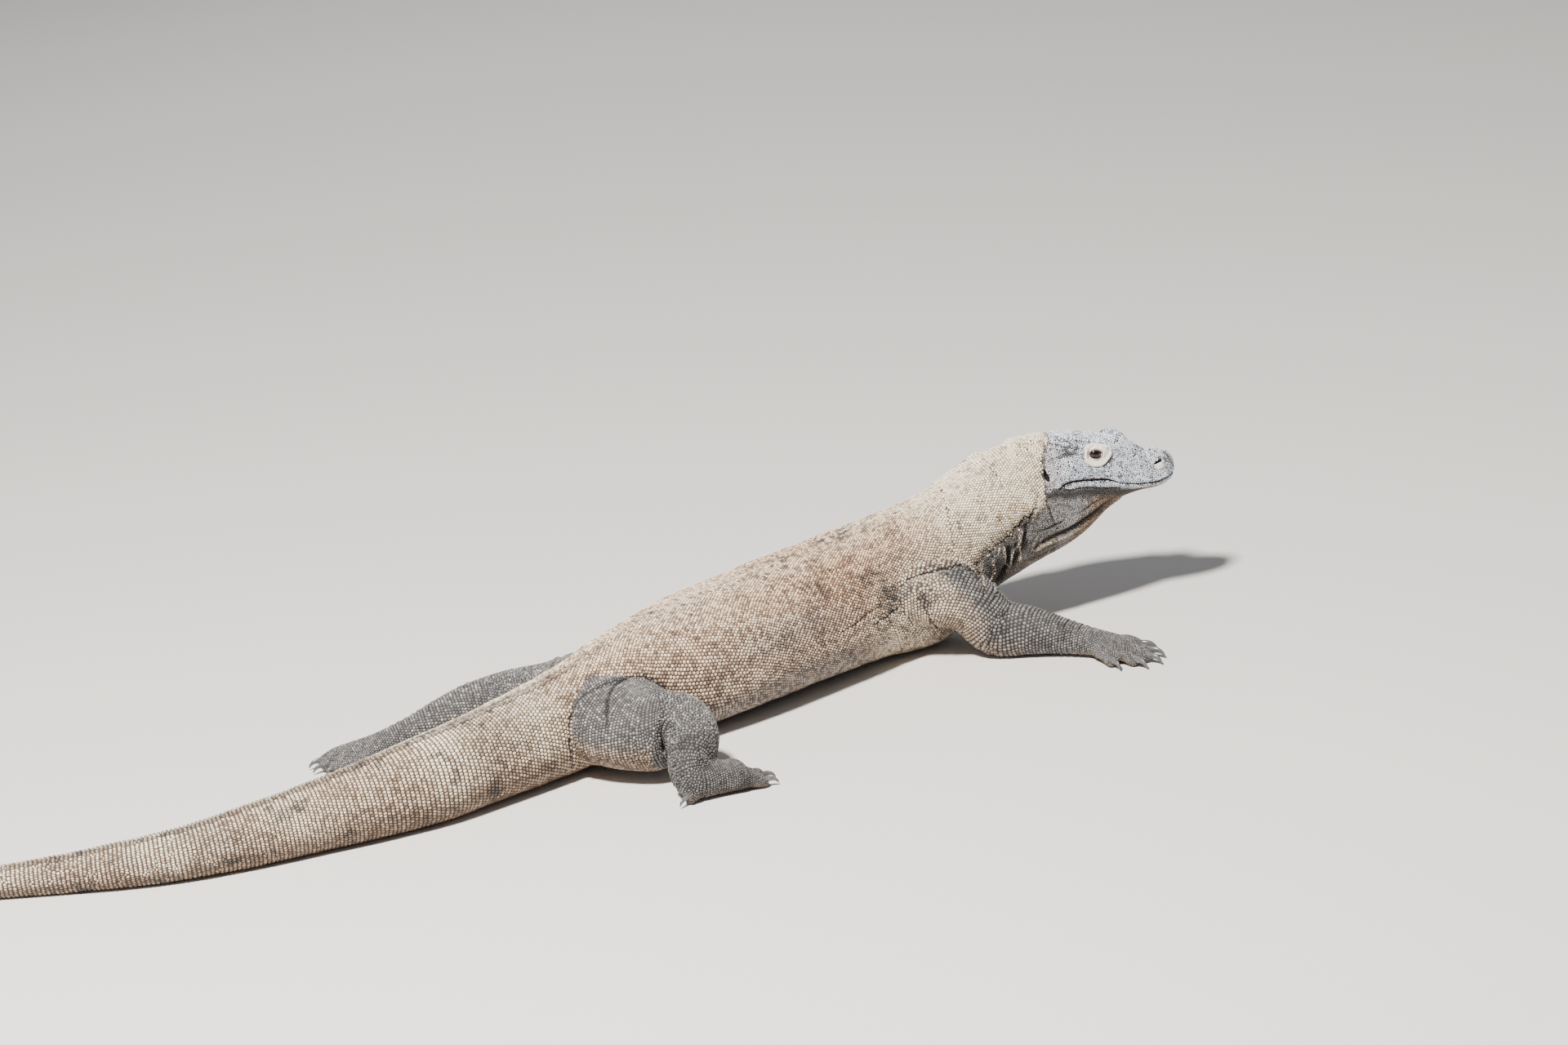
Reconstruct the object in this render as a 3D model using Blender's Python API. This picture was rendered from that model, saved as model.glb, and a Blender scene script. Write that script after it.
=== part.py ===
"""Komodo dragon, life size, resting on its belly with the head raised.

Metres, +Z up, +X towards the snout, floor at z = 0.  The body is lofted as one
skin from tables of sections, fused, then parted into named pieces by thin cuts.
"""
import math
import bpy
import bmesh
import numpy as np
from mathutils import Vector, Matrix

# ---- anatomy tables.  Before the last step the trunk lies along +X with the vent near x = 0
# +Y is the animal's left, floor z = 0
SPINE = (  # x, y, z, half width, height above axis, depth below axis
    ("tip",  -1.150,  0.420, 0.0070, 0.0045, 0.0045, 0.0070),
    ("t80",  -0.950,  0.320, 0.0140, 0.0120, 0.0150, 0.0140),
    ("t60",  -0.800,  0.201, 0.0220, 0.0200, 0.0260, 0.0220),
    ("t50",  -0.640,  0.090, 0.0300, 0.0290, 0.0400, 0.0300),
    ("t35",  -0.440,  0.024, 0.0440, 0.0400, 0.0540, 0.0440),
    ("t20",  -0.270, -0.009, 0.0570, 0.0520, 0.0680, 0.0570),
    ("t10",  -0.130,  0.000, 0.0650, 0.0620, 0.0690, 0.0650),
    ("vent",  0.000,  0.014, 0.0700, 0.0720, 0.0780, 0.0700),
    ("hip",   0.070,  0.019, 0.0740, 0.0850, 0.0880, 0.0740),
    ("groin", 0.150,  0.024, 0.0820, 0.1050, 0.0900, 0.0820),
    ("mid",   0.290,  0.044, 0.0900, 0.1250, 0.0860, 0.0900),
    ("rib",   0.430,  0.050, 0.0950, 0.1180, 0.0890, 0.0950),
    ("axil",  0.530,  0.042, 0.1020, 0.1000, 0.0960, 0.1020),
    ("shld",  0.605,  0.022, 0.1150, 0.0880, 0.0990, 0.1150),
    ("nek1",  0.693,  0.001, 0.1540, 0.0780, 0.0840, 0.0950),
    ("nek2",  0.770, -0.022, 0.1920, 0.0710, 0.0790, 0.1020),
    ("occ",   0.828, -0.047, 0.2130, 0.0610, 0.0660, 0.1020),
)
HEAD_O = (0.828, -0.047, 0.2130)       # head frame origin, at the jaw joint
HEAD_YAW, HEAD_PITCH, HEAD_ROLL = -27.0, -2.0, 8.0
# head sections: u along the head, then (y,z) of eight marks from the crown round to the throat, mm
HEAD = (
    (-60, (0, 63), (34, 58), (56, 35), (64,  4), (64, -25), (58, -62), (38,-101), (0, -122)),
    (-20, (0, 68), (35, 63), (57, 43), (63, 12), (64, -15), (59, -47), (39, -89), (0, -109)),
    ( 15, (0, 67), (35, 62), (55, 44), (61, 18), (60,   0), (55, -30), (37, -70), (0,  -93)),
    ( 45, (0, 64), (34, 61), (51, 46), (56, 20), (54,   1), (48, -20), (33, -54), (0,  -75)),
    ( 69, (0, 61), (33, 62), (46, 50), (50, 20), (49,  -3), (43, -18), (28, -42), (0,  -58)),
    ( 88, (0, 60), (31, 66), (43, 49), (46, 15), (45,  -7), (39, -20), (22, -36), (0,  -44)),
    (103, (0, 56), (28, 62), (39, 42), (43, 10), (43, -11), (37, -21), (20, -33), (0,  -38)),
    (118, (0, 48), (22, 49), (34, 32), (40,  5), (40, -14), (34, -22), (18, -31), (0,  -35)),
    (136, (0, 39), (18, 38), (30, 24), (36,  2), (36, -15), (31, -23), (15, -29), (0,  -32)),
    (158, (0, 34), (16, 32), (26, 19), (31,  0), (30, -16), (25, -22), (12, -27), (0,  -29)),
    (172, (0, 30), (13, 28), (21, 16), (25,  0), (24, -13), (19, -18), ( 9, -23), (0,  -25)),
    (181, (0, 23), ( 9, 21), (15, 13), (18,  0), (17, -10), (13, -15), ( 6, -18), (0,  -19)),
    (187, (0, 12), ( 4, 11), ( 7,  7), ( 8,  0), ( 7,  -5), ( 6,  -8), ( 3, -10), (0,  -10)),
)
EYE_U, EYE_Y, EYE_Z, EYE_R = 60.0, 41.0, 37.5, 12.0   # eyeball centre in the head frame and radius, mm
# limbs: x, y, z, radius across, radius up
ARM_R = (( 0.555, -0.010, 0.110, 0.056, 0.052), ( 0.598, -0.058, 0.102, 0.054, 0.050), ( 0.630, -0.088, 0.078, 0.047, 0.043),
         ( 0.655, -0.112, 0.042, 0.043, 0.041), ( 0.686, -0.150, 0.036, 0.035, 0.035), ( 0.713, -0.188, 0.029, 0.028, 0.027),
         ( 0.733, -0.222, 0.023, 0.023, 0.021), ( 0.747, -0.250, 0.019, 0.026, 0.017), ( 0.756, -0.276, 0.0145, 0.031, 0.015))
ARM_L = (( 0.570,  0.045, 0.110, 0.056, 0.052), ( 0.574,  0.105, 0.104, 0.053, 0.049), ( 0.562,  0.152, 0.080, 0.047, 0.043),
         ( 0.549,  0.190, 0.042, 0.042, 0.040), ( 0.568,  0.232, 0.036, 0.035, 0.035), ( 0.598,  0.263, 0.029, 0.028, 0.027),
         ( 0.626,  0.290, 0.023, 0.023, 0.021), ( 0.650,  0.311, 0.019, 0.026, 0.017), ( 0.672,  0.327, 0.0145, 0.031, 0.015))
LEG_R = (( 0.005,  0.000, 0.080, 0.066, 0.062), ( 0.011, -0.060, 0.074, 0.076, 0.060), ( 0.032, -0.115, 0.070, 0.069, 0.057),
         ( 0.058, -0.152, 0.072, 0.049, 0.045), ( 0.056, -0.180, 0.067, 0.038, 0.038), ( 0.037, -0.203, 0.053, 0.034, 0.034),
         ( 0.017, -0.221, 0.038, 0.028, 0.030), ( 0.014, -0.232, 0.028, 0.026, 0.026), ( 0.042, -0.240, 0.0235, 0.027, 0.023),
         ( 0.076, -0.248, 0.0205, 0.032, 0.021))
LEG_L = (( 0.045,  0.030, 0.080, 0.068, 0.060), ( 0.040,  0.090, 0.072, 0.064, 0.056), ( 0.018,  0.138, 0.060, 0.056, 0.050),
         (-0.012,  0.176, 0.054, 0.048, 0.047), (-0.065,  0.208, 0.047, 0.041, 0.041), (-0.112,  0.230, 0.037, 0.033, 0.032),
         (-0.154,  0.250, 0.027, 0.024, 0.023), (-0.190,  0.264, 0.019, 0.024, 0.019), (-0.240,  0.276, 0.0152, 0.028, 0.016))
# digits: forward offset, offset to the left of the heading, splay (deg), length, root radius, tip radius, claw length
HAND = ((-0.018, 0.026, 24, 0.030, 0.0105, 0.0085, 0.024), (-0.005, 0.015, 10, 0.040, 0.0110, 0.0088, 0.027),
        ( 0.000, 0.001,  0, 0.046, 0.0112, 0.0090, 0.028), (-0.004,-0.013,-10, 0.044, 0.0110, 0.0088, 0.027),
        (-0.018,-0.026,-24, 0.030, 0.0105, 0.0085, 0.025))
FOOT = ((-0.016, 0.026, 24, 0.026, 0.0115, 0.0090, 0.022), (-0.005, 0.014, 10, 0.033, 0.0120, 0.0095, 0.025),
        ( 0.000, 0.000,  1, 0.038, 0.0122, 0.0098, 0.026), (-0.004,-0.014, -8, 0.040, 0.0120, 0.0095, 0.026),
        (-0.064,-0.016,-150,0.019, 0.0120, 0.0090, 0.026))
# limb -> (palm end x, y), heading, digits, +1 = first digit on the left of the heading
FEET = {"R_fore": (( 0.756, -0.276),  -76.0, HAND, 1), "L_fore": ((0.672, 0.327), 36.0, HAND, -1),
        "R_hind": (( 0.078, -0.249),  -18.0, FOOT, 1), "L_hind": ((-0.240, 0.276), 171.0, FOOT, 1)}

VOXEL = 0.0056            # remesh size of the fused body
TARGET_TRIS = 4000        # triangles left in the fused body before parting
GAP = 0.0004              # width of every cut between neighbouring pieces
JAW_PATH = ((212, 2), (189, -7.4), (177, -12.8), (156, -16.5), (130, -16), (101, -12.4),
            (73, -3.4), (40, 1), (9, 0), (-4, -12), (-34, -42))   # mouth line and jaw angle, head frame u, v in mm
HEAD_CUT_U = -19.0        # plane behind the ear slit
SPINE_CUTS = (("tail_rear|tail_tip", -0.880, 0.040), ("tail_middle|tail_rear", -0.620, 0.062),
              ("tail_base|tail_middle", -0.345, 0.080), ("trunk|tail_base", -0.088, 0.0875), ("neck|trunk", 0.702, 0.112))


def pchip(x, y, xi):
    """Monotone cubic through (x, y); y may have columns."""
    x = np.asarray(x, float); y = np.asarray(y, float); xi = np.asarray(xi, float)
    h = np.diff(x)[:, None]; d = np.diff(y, axis=0) / h
    m = np.zeros_like(y)
    w1 = 2 * h[1:] + h[:-1]; w2 = h[1:] + 2 * h[:-1]
    with np.errstate(divide="ignore", invalid="ignore"):
        mm = (w1 + w2) / (w1 / d[:-1] + w2 / d[1:])
    m[1:-1] = np.where(d[:-1] * d[1:] > 0, mm, 0.0); m[0] = d[0]; m[-1] = d[-1]
    k = np.clip(np.searchsorted(x, xi, side="right") - 1, 0, len(x) - 2)
    t = ((xi - x[k]) / np.diff(x)[k])[:, None]; H = h[k]
    return ((2*t**3 - 3*t**2 + 1) * y[k] + (t**3 - 2*t**2 + t) * H * m[k]
            + (-2*t**3 + 3*t**2) * y[k+1] + (t**3 - t**2) * H * m[k+1])


def catmull(x, y, xi):
    """Smooth cubic through (x, y); y has columns."""
    x = np.asarray(x, float); y = np.asarray(y, float); xi = np.asarray(xi, float)
    h = np.diff(x)[:, None]; d = np.diff(y, axis=0) / h
    m = np.zeros_like(y); m[1:-1] = (d[:-1] * h[1:] + d[1:] * h[:-1]) / (h[:-1] + h[1:]); m[0] = d[0]; m[-1] = d[-1]
    k = np.clip(np.searchsorted(x, xi, side="right") - 1, 0, len(x) - 2)
    t = ((xi - x[k]) / np.diff(x)[k])[:, None]; H = h[k]
    return ((2*t**3 - 3*t**2 + 1) * y[k] + (t**3 - 2*t**2 + t) * H * m[k]
            + (-2*t**3 + 3*t**2) * y[k+1] + (t**3 - t**2) * H * m[k+1])


def loft(V):
    """Closed mesh through rings V[ring, corner, xyz], fan caps at both ends."""
    r, m = V.shape[:2]
    i = np.arange(r - 1)[:, None]; j = np.arange(m)[None]
    a = i * m + j; b = i * m + (j + 1) % m
    F = [tuple(int(q) for q in f) for f in np.stack([a, b, b + m, a + m], -1).reshape(-1, 4)]
    P = np.vstack([V.reshape(-1, 3), V[0].mean(0), V[-1].mean(0)])
    for k in range(m):
        F.append((r * m, (k + 1) % m, k)); F.append((r * m + 1, (r - 1) * m + k, (r - 1) * m + (k + 1) % m))
    vol = sum(P[f[0]] @ np.cross(P[f[k]], P[f[k + 1]]) for f in F for k in range(1, len(f) - 1))
    if vol < 0:
        F = [f[::-1] for f in F]
    return P, F


def ring(n, m):
    th = np.linspace(0, 2 * np.pi, m, endpoint=False); c, s = np.cos(th), np.sin(th)
    return np.sign(c) * abs(c) ** (2 / n), np.sign(s) * abs(s) ** (2 / n)


def path_frames(P, S, m):
    t = np.concatenate([[0], np.cumsum(np.linalg.norm(np.diff(P, axis=0), axis=1))])
    ti = np.linspace(0, t[-1], m); C = catmull(t, P, ti); R = pchip(t, S, ti)
    T = catmull(t, P, np.clip(ti + 1e-3, 0, t[-1])) - catmull(t, P, np.clip(ti - 1e-3, 0, t[-1]))
    T /= np.linalg.norm(T, axis=1)[:, None]
    side = np.cross((0, 0, 1.0), T); side /= np.linalg.norm(side, axis=1)[:, None]
    return C, T, side, np.cross(T, side), R


def body_loft(m=150, k=44):
    A = np.array([s[1:] for s in SPINE])
    C, T, side, U, R = path_frames(A[:, :3], A[:, 3:], m); c, s = ring(2.3, k)
    z = np.where(s > 0, s * R[:, 1:2], s * R[:, 2:3])
    return loft(C[:, None] + c[None, :, None] * R[:, 0:1, None] * side[:, None] + z[..., None] * U[:, None])


def head_axes():
    y, p, r = np.radians((HEAD_YAW, HEAD_PITCH, HEAD_ROLL))
    f = np.array([np.cos(y) * np.cos(p), np.sin(y) * np.cos(p), np.sin(p)])
    l = np.array([-np.sin(y), np.cos(y), 0.0]); u = np.cross(f, l)
    return f, l * np.cos(r) - u * np.sin(r), u * np.cos(r) + l * np.sin(r)


def head_point(p):
    """Head frame (forward, left, up) in mm to metres in the room."""
    f, l, u = head_axes(); p = np.asarray(p, float) * 0.001
    return np.array(HEAD_O) + p[..., 0:1] * f + p[..., 1:2] * l + p[..., 2:3] * u


def head_loft(m=64, k=44):
    us = np.array([h[0] for h in HEAD], float); L = np.array([h[1:] for h in HEAD], float)
    full = np.concatenate([L, L[:, 6:0:-1] * np.array([-1, 1])], 1)
    ui = np.concatenate([np.linspace(-60, 150, m - 16, endpoint=False), 150 + 37 * np.sin(np.linspace(0, np.pi / 2, 16))])
    R = catmull(us, full.reshape(len(us), -1), ui).reshape(len(ui), 14, 2)
    W = np.concatenate([R[:, -2:], R, R[:, :3]], 1); fi = np.linspace(0, 14, k, endpoint=False)
    out = np.stack([catmull(np.arange(-2, 17.0), W[:, :, c].T, fi).T for c in range(2)], -1)
    V = head_point(np.concatenate([np.repeat(ui[:, None, None], k, 1), out], 2))
    return loft(V[:, ::-1])


def tube(pts, m=40, k=22, n=2.15, cap=5, grow=0.0):
    """Limb, digit or claw: a loft along a path with rounded ends."""
    A = np.array(pts, float)
    C, T, side, U, R = path_frames(A[:, :3], A[:, 3:] + grow, m); c, s = ring(n, k)
    V = C[:, None] + c[None, :, None] * R[:, 0:1, None] * side[:, None] + s[None, :, None] * R[:, 1:2, None] * U[:, None]
    def end(i, sgn):
        o = []
        for a in np.linspace(0, np.pi / 2, cap + 1)[1:]:
            q = max(np.cos(a), 0.08)
            o.append(C[i] + T[i] * sgn * np.sin(a) * R[i, 1] * 0.8 + c[:, None] * R[i, 0] * q * side[i] + s[:, None] * R[i, 1] * q * U[i])
        return np.array(o)
    return loft(np.concatenate([end(0, -1)[::-1], V, end(-1, 1)]))


def digits(key):
    """Path of each toe and of its claw for one foot."""
    (px, py), head, rows, sg = FEET[key]
    h = math.radians(head); H = np.array([math.cos(h), math.sin(h)]); Lf = np.array([-H[1], H[0]]); out = []
    for fo, la, sp, ln, r0, r1, cl in rows:
        b = np.array([px, py]) + H * fo + Lf * la * sg
        a = h + math.radians(sp) * sg; d = np.array([math.cos(a), math.sin(a)])
        toe = [(*(b - d * 0.012), 0.0135, r0, r0 * .95), (*(b + d * ln * 0.30), 0.0158, r0 * .98, r0 * .95),
               (*(b + d * ln * 0.62), 0.0128, (r0 + r1) / 2, (r0 + r1) / 2 * .95), (*(b + d * ln * 0.92), r1 * .90, r1, r1 * .93)]
        tip = b + d * ln * 0.92; claw = []
        for t in np.linspace(0, 1, 9):
            x = -0.005 + (cl + 0.004) * math.sin(t * 1.25) / math.sin(1.25)
            z = 0.0100 + 0.0048 * math.sin(t * math.pi * 0.9) - 0.0086 * t ** 1.7
            r = 0.0050 * (1 - t) ** 0.8 + 0.0007
            claw.append((*(tip + d * x), max(z, r + 0.0004), r * 0.74, r))
        out.append((toe, claw))
    return out


def new_object(name, P, F):
    me = bpy.data.meshes.new(name); me.from_pydata([tuple(p) for p in P], [], F); me.update()
    ob = bpy.data.objects.new(name, me); bpy.context.scene.collection.objects.link(ob)
    return ob


def outward(ob):
    bm = bmesh.new(); bm.from_mesh(ob.data); bmesh.ops.recalc_face_normals(bm, faces=bm.faces)
    if bm.calc_volume(signed=True) < 0:
        bmesh.ops.reverse_faces(bm, faces=bm.faces)
    bm.to_mesh(ob.data); bm.free()


def bake(ob):
    """Replace the mesh by the result of its modifiers."""
    dg = bpy.context.evaluated_depsgraph_get(); dg.update()
    me = bpy.data.meshes.new_from_object(ob.evaluated_get(dg))
    ob.modifiers.clear(); old = ob.data; ob.data = me; bpy.data.meshes.remove(old)


def boolean(ob, cutter, op="DIFFERENCE"):
    md = ob.modifiers.new("cut", "BOOLEAN"); md.operation = op; md.solver = "EXACT"; md.object = cutter
    bake(ob)


def drop(ob):
    me = ob.data; bpy.data.objects.remove(ob, do_unlink=True); bpy.data.meshes.remove(me)


def slab(centre, normal, half, half_up=None, thick=GAP):
    """Thin box: the cut between two pieces, square to normal."""
    n = Vector(normal).normalized(); s = Vector((0, 0, 1)).cross(n)
    s = s.normalized() if s.length > 1e-6 else Vector((0, 1, 0)); u = n.cross(s)
    hu = half if half_up is None else half_up; c = Vector(centre); P = []
    for a in (-1, 1):
        for b in (-1, 1):
            for d in (-1, 1):
                P.append(c + n * a * thick / 2 + s * b * half + u * d * hu)
    F = [(0, 1, 3, 2), (4, 6, 7, 5), (0, 4, 5, 1), (2, 3, 7, 6), (0, 2, 6, 4), (1, 5, 7, 3)]
    ob = new_object("slab", P, F); outward(ob)
    return ob


def jaw_wall():
    """Thin wall along the mouth line, through the whole width of the head."""
    p = np.array(JAW_PATH, float); d = np.diff(p, axis=0); d /= np.linalg.norm(d, axis=1)[:, None]
    n = np.stack([-d[:, 1], d[:, 0]], 1); q = np.vstack([n[:1], (n[:-1] + n[1:]), n[-1:]]); q /= np.linalg.norm(q, axis=1)[:, None]
    g = GAP * 500; loop = np.vstack([p + q * g, (p - q * g)[::-1]]); m = len(loop)
    V = np.array([[(u, y, v) for u, v in loop] for y in (-95.0, 95.0)])
    P = head_point(V).reshape(-1, 3); k = len(p)
    F = [(i, (i + 1) % m, m + (i + 1) % m, m + i) for i in range(m)]
    for o in (0, m):
        F += [(o + i, o + i + 1, o + m - 2 - i, o + m - 1 - i) for i in range(k - 1)]
    ob = new_object("jaw_wall", P, F); outward(ob)
    return ob


def material(name, colour, rough):
    m = bpy.data.materials.new(name); m.use_nodes = True
    b = m.node_tree.nodes["Principled BSDF"]
    b.inputs["Base Color"].default_value = (*colour, 1); b.inputs["Roughness"].default_value = rough
    m.diffuse_color = (*colour, 1)
    return m


for o in list(bpy.data.objects):
    bpy.data.objects.remove(o, do_unlink=True)

HIDE = material("hide", (0.42, 0.36, 0.28), 0.62)
HIDE_DARK = material("hide_dark", (0.20, 0.20, 0.20), 0.62)
HIDE_HEAD = material("hide_head", (0.40, 0.43, 0.46), 0.55)
HORN = material("claw_horn", (0.10, 0.11, 0.13), 0.30)
EYE = material("eye_gloss", (0.05, 0.025, 0.015), 0.08)

# ---- the body as one fused skin
parts = [body_loft(), head_loft()] + [tube(a) for a in (ARM_R, ARM_L, LEG_R, LEG_L)]
claws = {}
for key in FEET:
    for i, (toe, claw) in enumerate(digits(key), 1):
        parts.append(tube(toe, 12, 12)); claws[(key, i)] = claw
P, F = [], []
for p, f in parts:
    o = len(P); P.extend(p.tolist()); F.extend([tuple(i + o for i in q) for q in f])
body = new_object("body", P, F)
md = body.modifiers.new("r", "REMESH"); md.mode = "VOXEL"; md.voxel_size = VOXEL; md.adaptivity = 0.0
bake(body)
bm = bmesh.new(); bm.from_mesh(body.data)
for _ in range(4):
    bmesh.ops.smooth_vert(bm, verts=bm.verts, factor=0.5, use_axis_x=True, use_axis_y=True, use_axis_z=True)
bmesh.ops.recalc_face_normals(bm, faces=bm.faces); bm.normal_update()
for v in bm.verts:
    v.co += v.normal * 0.0006
bmesh.ops.triangulate(bm, faces=bm.faces)
bm.to_mesh(body.data); bm.free()

# ---- thin the mesh
md = body.modifiers.new("d", "DECIMATE"); md.decimate_type = "COLLAPSE"
md.ratio = TARGET_TRIS / len(body.data.polygons)
bake(body)

# ---- small flats on the floor
bm = bmesh.new(); bm.from_mesh(body.data)
for v in bm.verts:
    if abs(v.co.z) < 0.0018:
        v.co.z = 0.0
bmesh.ops.bisect_plane(bm, geom=bm.verts[:] + bm.edges[:] + bm.faces[:], dist=1e-5, plane_co=(0, 0, 0), plane_no=(0, 0, -1), clear_outer=True)
edges = [e for e in bm.edges if e.is_boundary]
bmesh.ops.holes_fill(bm, edges=edges, sides=0)
bmesh.ops.dissolve_degenerate(bm, edges=bm.edges, dist=1e-5)
bmesh.ops.triangulate(bm, faces=bm.faces)
bmesh.ops.recalc_face_normals(bm, faces=bm.faces)
bm.to_mesh(body.data); bm.free()

# ---- claws seat in sockets in the toes
for (key, i), path in claws.items():
    sock = new_object("sock", *tube(path[:6], 5, 6, 2.0, 1, grow=GAP)); outward(sock)
    boolean(body, sock); drop(sock)
# ---- eyes seat in open sockets
for sgn in (1, -1):
    for r, name in ((EYE_R * 0.001 + GAP, "sock"), (EYE_R * 0.001, "eye_left" if sgn > 0 else "eye_right")):
        bm = bmesh.new(); bmesh.ops.create_uvsphere(bm, u_segments=14, v_segments=8, radius=r)
        f, l, u = head_axes(); M = Matrix((( *f,), (*(l * 1.0),), (*u,))).transposed().to_4x4()
        bmesh.ops.transform(bm, matrix=Matrix.Translation(Vector(head_point((EYE_U, sgn * EYE_Y, EYE_Z)))) @ M @ Matrix.Rotation(math.pi / 2, 4, "X"), verts=bm.verts)
        me = bpy.data.meshes.new(name); bm.to_mesh(me); bm.free(); ob = bpy.data.objects.new(name, me)
        bpy.context.scene.collection.objects.link(ob); outward(ob)
        if name == "sock":
            boolean(body, ob); drop(ob)
        else:
            ob.data.materials.append(EYE)

# ---- thin cuts
A = np.array([s[1:] for s in SPINE]); C, T, side, U, R = path_frames(A[:, :3], A[:, 3:], 400)
for _, x, half in SPINE_CUTS:
    i = int(np.argmin(abs(C[:, 0] - x)))
    s = slab(C[i] + U[i] * 0.004, T[i], half if x < 0.5 else 0.088, None if x < 0.5 else 0.125)
    boolean(body, s); drop(s)
f, l, u = head_axes()
s = slab(head_point((HEAD_CUT_U, 0, -22)), f, 0.098, 0.125); boolean(body, s); drop(s)
s = jaw_wall(); boolean(body, s); drop(s)
LIMB_CUTS = (
    ((0.628, -0.082, 0.085), (0.05, -1.00, 0.0), 0.110, 0.100),     # right shoulder
    ((0.664, -0.123, 0.045), (0.62, -0.70, -0.35), 0.052, 0.052),   # right elbow
    ((0.735, -0.226, 0.024), (0.42, -0.90, -0.10), 0.036, 0.036),   # right wrist
    ((0.566,  0.141, 0.085), (0.34, 0.94, 0.0), 0.100, 0.100),      # left shoulder
    ((0.552,  0.200, 0.046), (0.10, 0.92, -0.35), 0.056, 0.056),    # left elbow
    ((0.616,  0.280, 0.025), (0.75, 0.65, -0.15), 0.036, 0.036),    # left wrist
    ((0.025, -0.076, 0.080), (-0.12, -0.99, 0.0), 0.115, 0.100),    # right hip
    ((0.052, -0.171, 0.060), (-0.20, -0.98, -0.05), 0.090, 0.080),  # right knee
    ((0.022, -0.215, 0.044), (-0.20, -0.65, -0.73), 0.066, 0.056),  # right ankle
    ((0.035,  0.107, 0.080), (-0.15, 0.99, 0.0), 0.095, 0.100),     # left hip
    ((-0.035, 0.190, 0.050), (-0.86, 0.50, -0.10), 0.062, 0.062),   # left knee
    ((-0.166, 0.255, 0.025), (-0.95, 0.30, -0.10), 0.036, 0.036),   # left ankle
)
for c, n, h, hu_ in LIMB_CUTS:
    s = slab(c, n, h, hu_); boolean(body, s); drop(s)

# ---- name the loose pieces by the mark each one holds nearest its middle
MARKS = {
    "tail_tip": (-1.01, 0.345, 0.01), "tail_rear": (-0.75, 0.165, 0.025), "tail_middle": (-0.48, 0.033, 0.042),
    "tail_base": (-0.22, -0.005, 0.06), "trunk": (0.33, 0.048, 0.09), "neck": (0.765, -0.02, 0.16),
    "head": tuple(head_point((75, 0, 25))), "lower_jaw": tuple(head_point((45, 0, -40))),
    "upper_arm_right": (0.640, -0.105, 0.070), "forearm_right": (0.700, -0.170, 0.036), "hand_right": (0.755, -0.280, 0.018),
    "upper_arm_left": (0.552, 0.172, 0.066), "forearm_left": (0.578, 0.240, 0.036), "hand_left": (0.672, 0.326, 0.018),
    "thigh_right": (0.028, -0.115, 0.070), "shank_right": (0.045, -0.198, 0.055), "foot_right": (0.060, -0.243, 0.022),
    "thigh_left": (0.010, 0.145, 0.060), "shank_left": (-0.100, 0.225, 0.040), "foot_left": (-0.235, 0.272, 0.018)}
bm = bmesh.new(); bm.from_mesh(body.data)
bmesh.ops.remove_doubles(bm, verts=bm.verts, dist=2e-6)
bm.verts.ensure_lookup_table(); seen = set(); groups = []
for v in bm.verts:
    if v.index in seen:
        continue
    stack = [v]; seen.add(v.index); g = []
    while stack:
        a = stack.pop(); g.append(a)
        for e in a.link_edges:
            b = e.other_vert(a)
            if b.index not in seen:
                seen.add(b.index); stack.append(b)
    groups.append(g)
named = {}
for g in groups:
    if len(g) < 12:
        continue
    c = sum((v.co for v in g), Vector()) / len(g)
    faces = {f for v in g for f in v.link_faces}
    key = min(MARKS, key=lambda k: (Vector(MARKS[k]) - c).length)
    named.setdefault(key, []).append((len(g), g, faces))
for key, gs in named.items():
    gs.sort(key=lambda q: -q[0])
    _, g, faces = gs[0]
    idx = {v: i for i, v in enumerate(g)}
    ob = new_object(key, [v.co[:] for v in g], [tuple(idx[v] for v in f.verts) for f in faces])
    outward(ob)
    dark = key.split("_")[-1] in ("left", "right")
    ob.data.materials.append(HIDE_HEAD if key in ("head", "lower_jaw") else HIDE_DARK if dark else HIDE)
bm.free(); drop(body)

NAMES = {"R_fore": "claw_hand_right_%d", "L_fore": "claw_hand_left_%d", "R_hind": "claw_foot_right_%d", "L_hind": "claw_foot_left_%d"}
for (key, i), path in claws.items():
    ob = new_object(NAMES[key] % i, *tube(path, 5, 6, 2.0, 1)); outward(ob); ob.data.materials.append(HORN)

# ---- put the origin under the middle of the bounding box and make the meshes tidy
obs = [o for o in bpy.data.objects if o.type == "MESH"]
lo = Vector((1e9,) * 3); hi = Vector((-1e9,) * 3)
for o in obs:
    for v in o.data.vertices:
        for k in range(3):
            lo[k] = min(lo[k], v.co[k]); hi[k] = max(hi[k], v.co[k])
shift = Vector((-(lo.x + hi.x) / 2, -(lo.y + hi.y) / 2, 0.0))
for o in obs:
    o.data.transform(Matrix.Translation(shift)); o.data.update()
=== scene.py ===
"""Komodo dragon, a still life-size model: one skin, a coat of scales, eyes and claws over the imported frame."""
import math
import bpy
import bmesh
import numpy as np
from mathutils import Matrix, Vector, noise
from mathutils.kdtree import KDTree
from mathutils.bvhtree import BVHTree


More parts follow.
